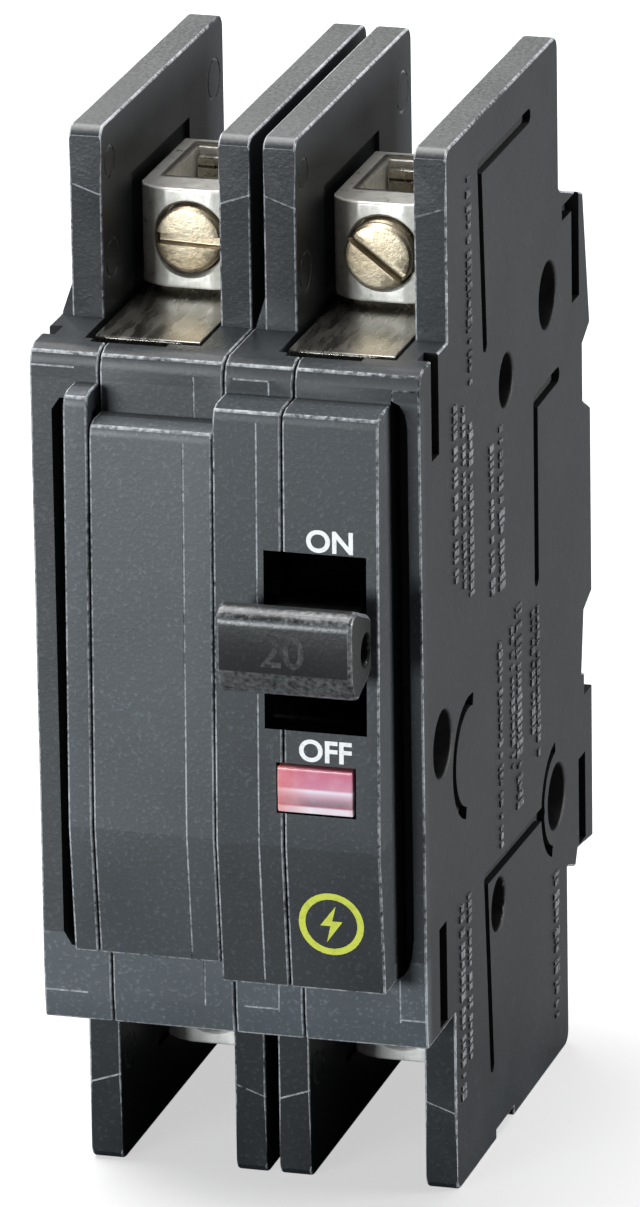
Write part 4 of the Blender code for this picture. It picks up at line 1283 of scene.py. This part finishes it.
@dataclass
class Terminal:
    """A box lug with its screw and strap, at one end of one pole."""

    side: str
    end: str
    finishes: Finishes
    half_width: float = 5.3
    depth: float = 16.6
    front_wall: float = 4.2
    back_wall: float = 1.4
    screw_radius: float = 3.3
    rim: float = 0.45
    pitch: float = 0.7

    @property
    def place(self) -> Triple:
        """Front, bottom and top of the lug."""
        return (-5.0, 86.4, 96.3) if self.end == "line" else (-2.0, 8.2, 18.1)

    @property
    def middle(self) -> float:
        """X of the lug's middle."""
        return POLE_LEFT[self.side] + CHAMBER_MIDDLE

    def lug(self) -> None:
        """The lug: a chamfered block with a wire way and a countersunk screw hole."""
        front, bottom, top = self.place
        middle, half, back = self.middle, self.half_width, front + self.depth
        right = [(half - 3.0, front), (half - 1.6, front + 0.45), (half - 0.35, front + 1.4),
                 (half, front + 2.4), (half, back)]
        first, *left = [(middle - x, y) for x, y in right]
        outline = [first, *((middle + x, y) for x, y in right), *reversed(left)]
        lug = Solid.prism(outline, bottom, top, Plane.TOP).soften(0.3, 3, 15.0)
        way = (middle - 3.5, middle + 3.5)
        deep = (front + self.front_wall, back - self.back_wall)
        height = (bottom + top) / 2
        tools = [Solid.block(way, deep, (bottom - 1, top + 1)),
                 Solid.drum((middle, front + 2, height), self.screw_radius + 0.22, 6, "Y", 48),
                 Solid.drum((middle, front + 0.2, height), 4.0, 0.8, "Y", 48, tip=3.5)]
        rim = self.rim
        x, y = (way[0] - rim, way[1] + rim), (deep[0] - rim, deep[1] + rim)
        for level, sign in ((top, -1), (bottom, 1)):
            inner_level = level + sign * rim
            funnel = Solid.block(x, y, (min(level, inner_level), max(level, inner_level)))
            for vert in funnel.bm.verts:
                if abs(vert.co.z - inner_level) < 0.01:
                    vert.co.x += rim if vert.co.x < middle else -rim
                    vert.co.y += rim if vert.co.y < (deep[0] + deep[1]) / 2 else -rim
            tools.append(funnel)
        lug.cut(*tools)
        node = f"{self.end}_lug_{self.side}"
        finish = self.finishes.tin if self.end == "line" else self.finishes.dull_tin
        Fitting(node + "_block", "case", finish, "lug", (node,), 35.0).fit(lug)

    def screw(self) -> None:
        """The clamping screw, its slot turned as it was left."""
        front, bottom, top = self.place
        proud, turn = SCREWS[self.end, self.side]
        radius = self.screw_radius
        head, tip = -proud, self.front_wall + 1.0
        place = head + 0.9
        profile = [(0, head), (radius - 0.55, head), (radius - 0.2, head + 0.12), (radius, head + 0.45),
                   (radius, place)]
        while place + self.pitch < tip - 0.6:
            profile += [(radius - 0.28, place + self.pitch / 2), (radius, place + self.pitch)]
            place += self.pitch
        profile += [(radius - 0.6, tip), (0, tip)]
        screw = Solid.turned(profile, (0, 0, 0), "Y", 56)
        slot = Solid.block((-radius - 1, radius + 1), (head - 1, head + 1.2), (-0.55, 0.55)).soften(0.12)
        screw.cut(slot)
        spin = Matrix.Rotation(math.radians(turn), 4, "Y")
        screw.bend(Matrix.Translation((self.middle, front, (bottom + top) / 2)) @ spin)
        node, body = f"{self.end}_lug_screw_{self.side}", f"{self.end}_screw_{self.side}"
        Fitting(node + "_turned", body, self.finishes.screw, "screw", (node,), 30.0).fit(screw)

    def strap(self) -> None:
        """The tinned strap under the lug, its edges rolled and its tongue ridged."""
        middle = self.middle
        wide, tongue = (middle - 5.2, middle + 5.2), (middle - 3.2, middle + 3.2)
        if self.end == "line":
            outline = [(9.8, 84.7), (9.8, 85.75), (-18.6, 85.75), (-18.85, 85.68), (-19.0, 85.45),
                       (-19.0, 79.6), (-8.2, 79.6), (-8.2, 65.0), (-7.0, 65.0), (-7.0, 80.8),
                       (-18.0, 80.8), (-18.0, 84.7)]
            strap = Solid.prism(outline, *wide).soften(0.18, angle=SHARP_ANGLE)
            back, foot, tip, rounding, first = 8.6, 85.5, 95.4, 0.2, 88.4
        else:
            low, high = 18.4, 19.6
            inside = [(16.5, low), (17.7, low), (17.7, 33.0), (26.5, 33.0), (26.5, 34.2), (16.5, 34.2)]
            strap = Solid.prism(inside, *tongue).soften(0.15)
            strap.join(Solid.block(wide, (-14.0, 17.7), (low, high)).soften(0.18))
            back, foot, tip, rounding, first = 11.6, 9.2, low + 0.5, 0.15, 10.4
        upright = Solid.block(tongue, (back, back + 1.2), (foot, tip)).soften(rounding)
        cut = (tongue[0] - 1, tongue[1] + 1)
        ridges = []
        for z in (first + 1.2 * count for count in range(6)):
            notch = [(back - 0.3, z - 0.34), (back + 0.28, z), (back - 0.3, z + 0.34)]
            ridges.append(Solid.prism(notch, *cut))
        strap.join(upright.cut(*ridges))
        node = f"{self.end}_strap_{self.side}"
        Fitting(node + "_plate", "case", self.finishes.strap, "lug", (node,), 35.0).fit(strap)

    def build(self) -> None:
        """Makes the lug, its screw and its strap."""
        self.lug()
        self.screw()
        self.strap()


# --- rivets, rail clips and the mechanism ---------------------------------------------------------
@dataclass
class Fasteners:
    """The through rivets and the sheet-steel rail clips."""

    finishes: Finishes
    end: float = 16.9
    shank: float = 1.6

    def rivet(self, number: int, y: float, z: float, hole: float) -> None:
        """A rivet with a domed head, and the rolled end of its tube at the other side."""
        head, end = hole - 0.5, self.end
        profile = [(0, -end), (head * 0.55, -end + 0.02), (head - 0.35, -end + 0.25), (head, -end + 0.75),
                   (head, -end + 1.1), (self.shank, -end + 1.1), (self.shank, end - 1.1),
                   (head, end - 1.1), (head, end - 0.7), (head - 0.5, end - 0.1), (1.15, end),
                   (0.85, end - 0.4), (0.7, end - 2.2), (0, end - 2.2)]
        rivet = Solid.turned(profile, (0, y, z), "X", 40)
        node = f"rivet_{number}"
        Fitting(node + "_turned", "case", self.finishes.steel, "steel", (node,), 30.0).fit(rivet)

    def clips(self, side: str) -> None:
        """The fixed upper hook and the sliding lower latch of one pole."""
        floor, thick, lip, hook = 33.0, 1.6, 37.4, 36.3
        x = across(side, 8.0, 15.0)
        upper = [(floor, 84.0), (floor, 70.8), (hook, 70.8), (hook, 68.8), (lip, 68.8), (lip, 72.3),
                 (floor + thick, 72.3), (floor + thick, 84.0)]
        lower = [(floor, 19.4), (floor + thick, 19.4), (floor + thick, 34.9), (lip, 34.9), (lip, 38.6),
                 (hook, 38.6), (hook, 36.5), (floor, 36.5)]
        middle = (x[0] + x[1]) / 2
        kinds = (("hook", upper, "case", 79.0), ("latch", lower, f"rail_latch_{side}", 24.0))
        for kind, outline, body, hole_z in kinds:
            plate = Solid.prism(outline, *x).soften(0.2)
            plate.cut(Solid.drum((middle, floor, hole_z), 1.5, 6, "Y", 32))
            node = f"rail_{kind}_{side}"
            Fitting(node + "_plate", body, self.finishes.steel, "steel", (node,), 35.0).fit(plate)

    def build(self, rivets: Sequence[Triple]) -> None:
        """Makes every rivet and clip.

        Args:
            rivets: Y, Z and hole radius of each.
        """
        for number, place in enumerate(rivets, start=1):
            self.rivet(number, *place)
        for side in SIDES:
            self.clips(side)


@dataclass
class Mechanism:
    """The sealed inner pieces, whose CAD shapes stay and get their finishes."""

    finishes: Finishes

    def build(self) -> None:
        """Dresses each CAD node that no piece stands for."""
        looks = self.finishes
        kinds = {"contact_arm": looks.copper, "braid": looks.copper, "bimetal": looks.copper,
                 "fixed_contact": looks.silver, "moving_contact": looks.silver,
                 "trip_bar": looks.trip, "trip_flag": looks.flag}
        for name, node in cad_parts.items():
            if node.hide_render:
                continue
            found = (look for start, look in kinds.items() if name.startswith(start))
            material = next(found, looks.steel)
            for slot in node.material_slots:
                slot.material = material
            log.info("%s: kept, %s", name, material.name)


# --- studio ---------------------------------------------------------------------------------------
@dataclass(frozen=True)
class Softbox:
    """A rectangular soft light: where it stands and its size in metres, and its power in watts."""

    name: str
    place: Triple
    size: Point
    watts: float
    tint: Colour = (1.0, 1.0, 1.0)


@dataclass
class Studio:
    """Floor, lights and camera."""

    aim: Triple = (1.2, 6.0, 53.0)
    distance: float = 1100.2
    azimuth: float = 16.32
    elevation: float = 18.90
    roll: float = 0.89
    lens: float = 338.9
    shift: Point = (-0.0074, -0.0090)
    floor_reach: float = 20.0
    floor_bounce: float = 0.10
    floor_tone: float = 0.30
    floor_lift: float = 0.57
    floor_clear: Span = (0.25, 0.55)
    world_fill: float = 0.06
    boxes: tuple[Softbox, ...] = (
        Softbox("front_left", (-0.50, -1.05, 0.15), (0.5, 0.24), 13.5, (0.92, 0.97, 1.0)),
        Softbox("overhead", (-0.40, 0.30, 1.15), (1.3, 1.3), 44.0),
        Softbox("right", (1.1, 0.35, 0.28), (0.5, 0.4), 19.0),
    )

    def camera(self) -> None:
        """A long lens from the right, above, slightly rolled."""
        a, e = math.radians(self.azimuth), math.radians(self.elevation)
        back = Vector((math.sin(a) * math.cos(e), -math.cos(a) * math.cos(e), math.sin(e)))
        data = bpy.data.cameras.new("camera")
        data.lens = self.lens
        data.sensor_width = 36.0
        data.shift_x, data.shift_y = self.shift
        data.clip_start, data.clip_end = 0.05, 30.0
        camera = add_object("camera", data)
        camera.location = (Vector(self.aim) + back * self.distance) * MM
        facing = (-back).to_track_quat("-Z", "Y").to_matrix()
        camera.rotation_euler = (facing @ Matrix.Rotation(math.radians(-self.roll), 3, "Z")).to_euler()
        bpy.context.scene.camera = camera

    def floor(self) -> None:
        """A wide pale floor, clear white away from the breaker.

        Only the camera sees it so: reflections find it dark, as if black cards stood round the set.
        """
        bm = bmesh.new()
        bmesh.ops.create_grid(bm, x_segments=1, y_segments=1, size=self.floor_reach)
        mesh = bpy.data.meshes.new("floor")
        bm.to_mesh(mesh)
        bm.free()
        floor = add_object("floor", mesh)
        material, nodes, shader = new_material("floor")
        seen = nodes.seen()
        away = nodes.add("VectorMath", {0: nodes.where()}, operation="LENGTH").outputs["Value"]
        near = nodes.mix(nodes.ramp(away, *self.floor_clear), grey(self.floor_lift), grey(1.0))
        nodes.feed(shader, {
            "Base Color": nodes.mix(seen, grey(self.floor_bounce), grey(self.floor_tone)),
            "Emission Color": nodes.mix(seen, grey(0.0), near), "Emission Strength": 1.0,
            "Roughness": 0.8, "Specular IOR Level": 0.0})
        mesh.materials.append(material)

    @staticmethod
    def place_light(box: Softbox, aim: Sequence[float]) -> None:
        """Adds a soft light that faces a point."""
        data = bpy.data.lights.new(box.name, "AREA")
        data.shape = "RECTANGLE"
        data.size, data.size_y = box.size
        data.energy = box.watts
        data.color = box.tint
        light = add_object(box.name, data)
        light.location = box.place
        light.rotation_euler = (Vector(aim) - Vector(box.place)).to_track_quat("-Z", "Y").to_euler()

    def lights(self) -> None:
        """Soft boxes in front, above and at the right, and a world that is white only to the camera."""
        middle = (0.0, 0.0, 0.05)
        for box in self.boxes:
            self.place_light(box, middle)
        world = bpy.data.worlds.new("studio")
        world.use_nodes = True
        nodes = Nodes(world.node_tree)
        strength = nodes.ramp(nodes.seen(), 0.0, 1.0, (self.world_fill, 1.0))
        nodes.feed(world.node_tree.nodes["Background"], {"Color": grey(1.0), "Strength": strength})
        bpy.context.scene.world = world
        bpy.context.scene.view_settings.view_transform = "Standard"

    def build(self) -> None:
        """Sets up the studio."""
        self.camera()
        self.floor()
        self.lights()


def main() -> None:
    """Builds the breaker's pieces and the studio."""
    logging.basicConfig(level=logging.INFO, format="%(message)s")
    finishes = Finishes()
    halves = [CaseHalf(side, half, finishes) for side in SIDES for half in Half]
    for half in halves:
        half.build()
    SideRelief(finishes).build()
    Handle(finishes).build()
    FrontMarks(finishes).build()
    for side in SIDES:
        for end in ("line", "load"):
            Terminal(side, end, finishes).build()
    Fasteners(finishes).build(halves[0].rivets)
    Mechanism(finishes).build()
    Studio().build()


if __name__ == "__main__":
    main()
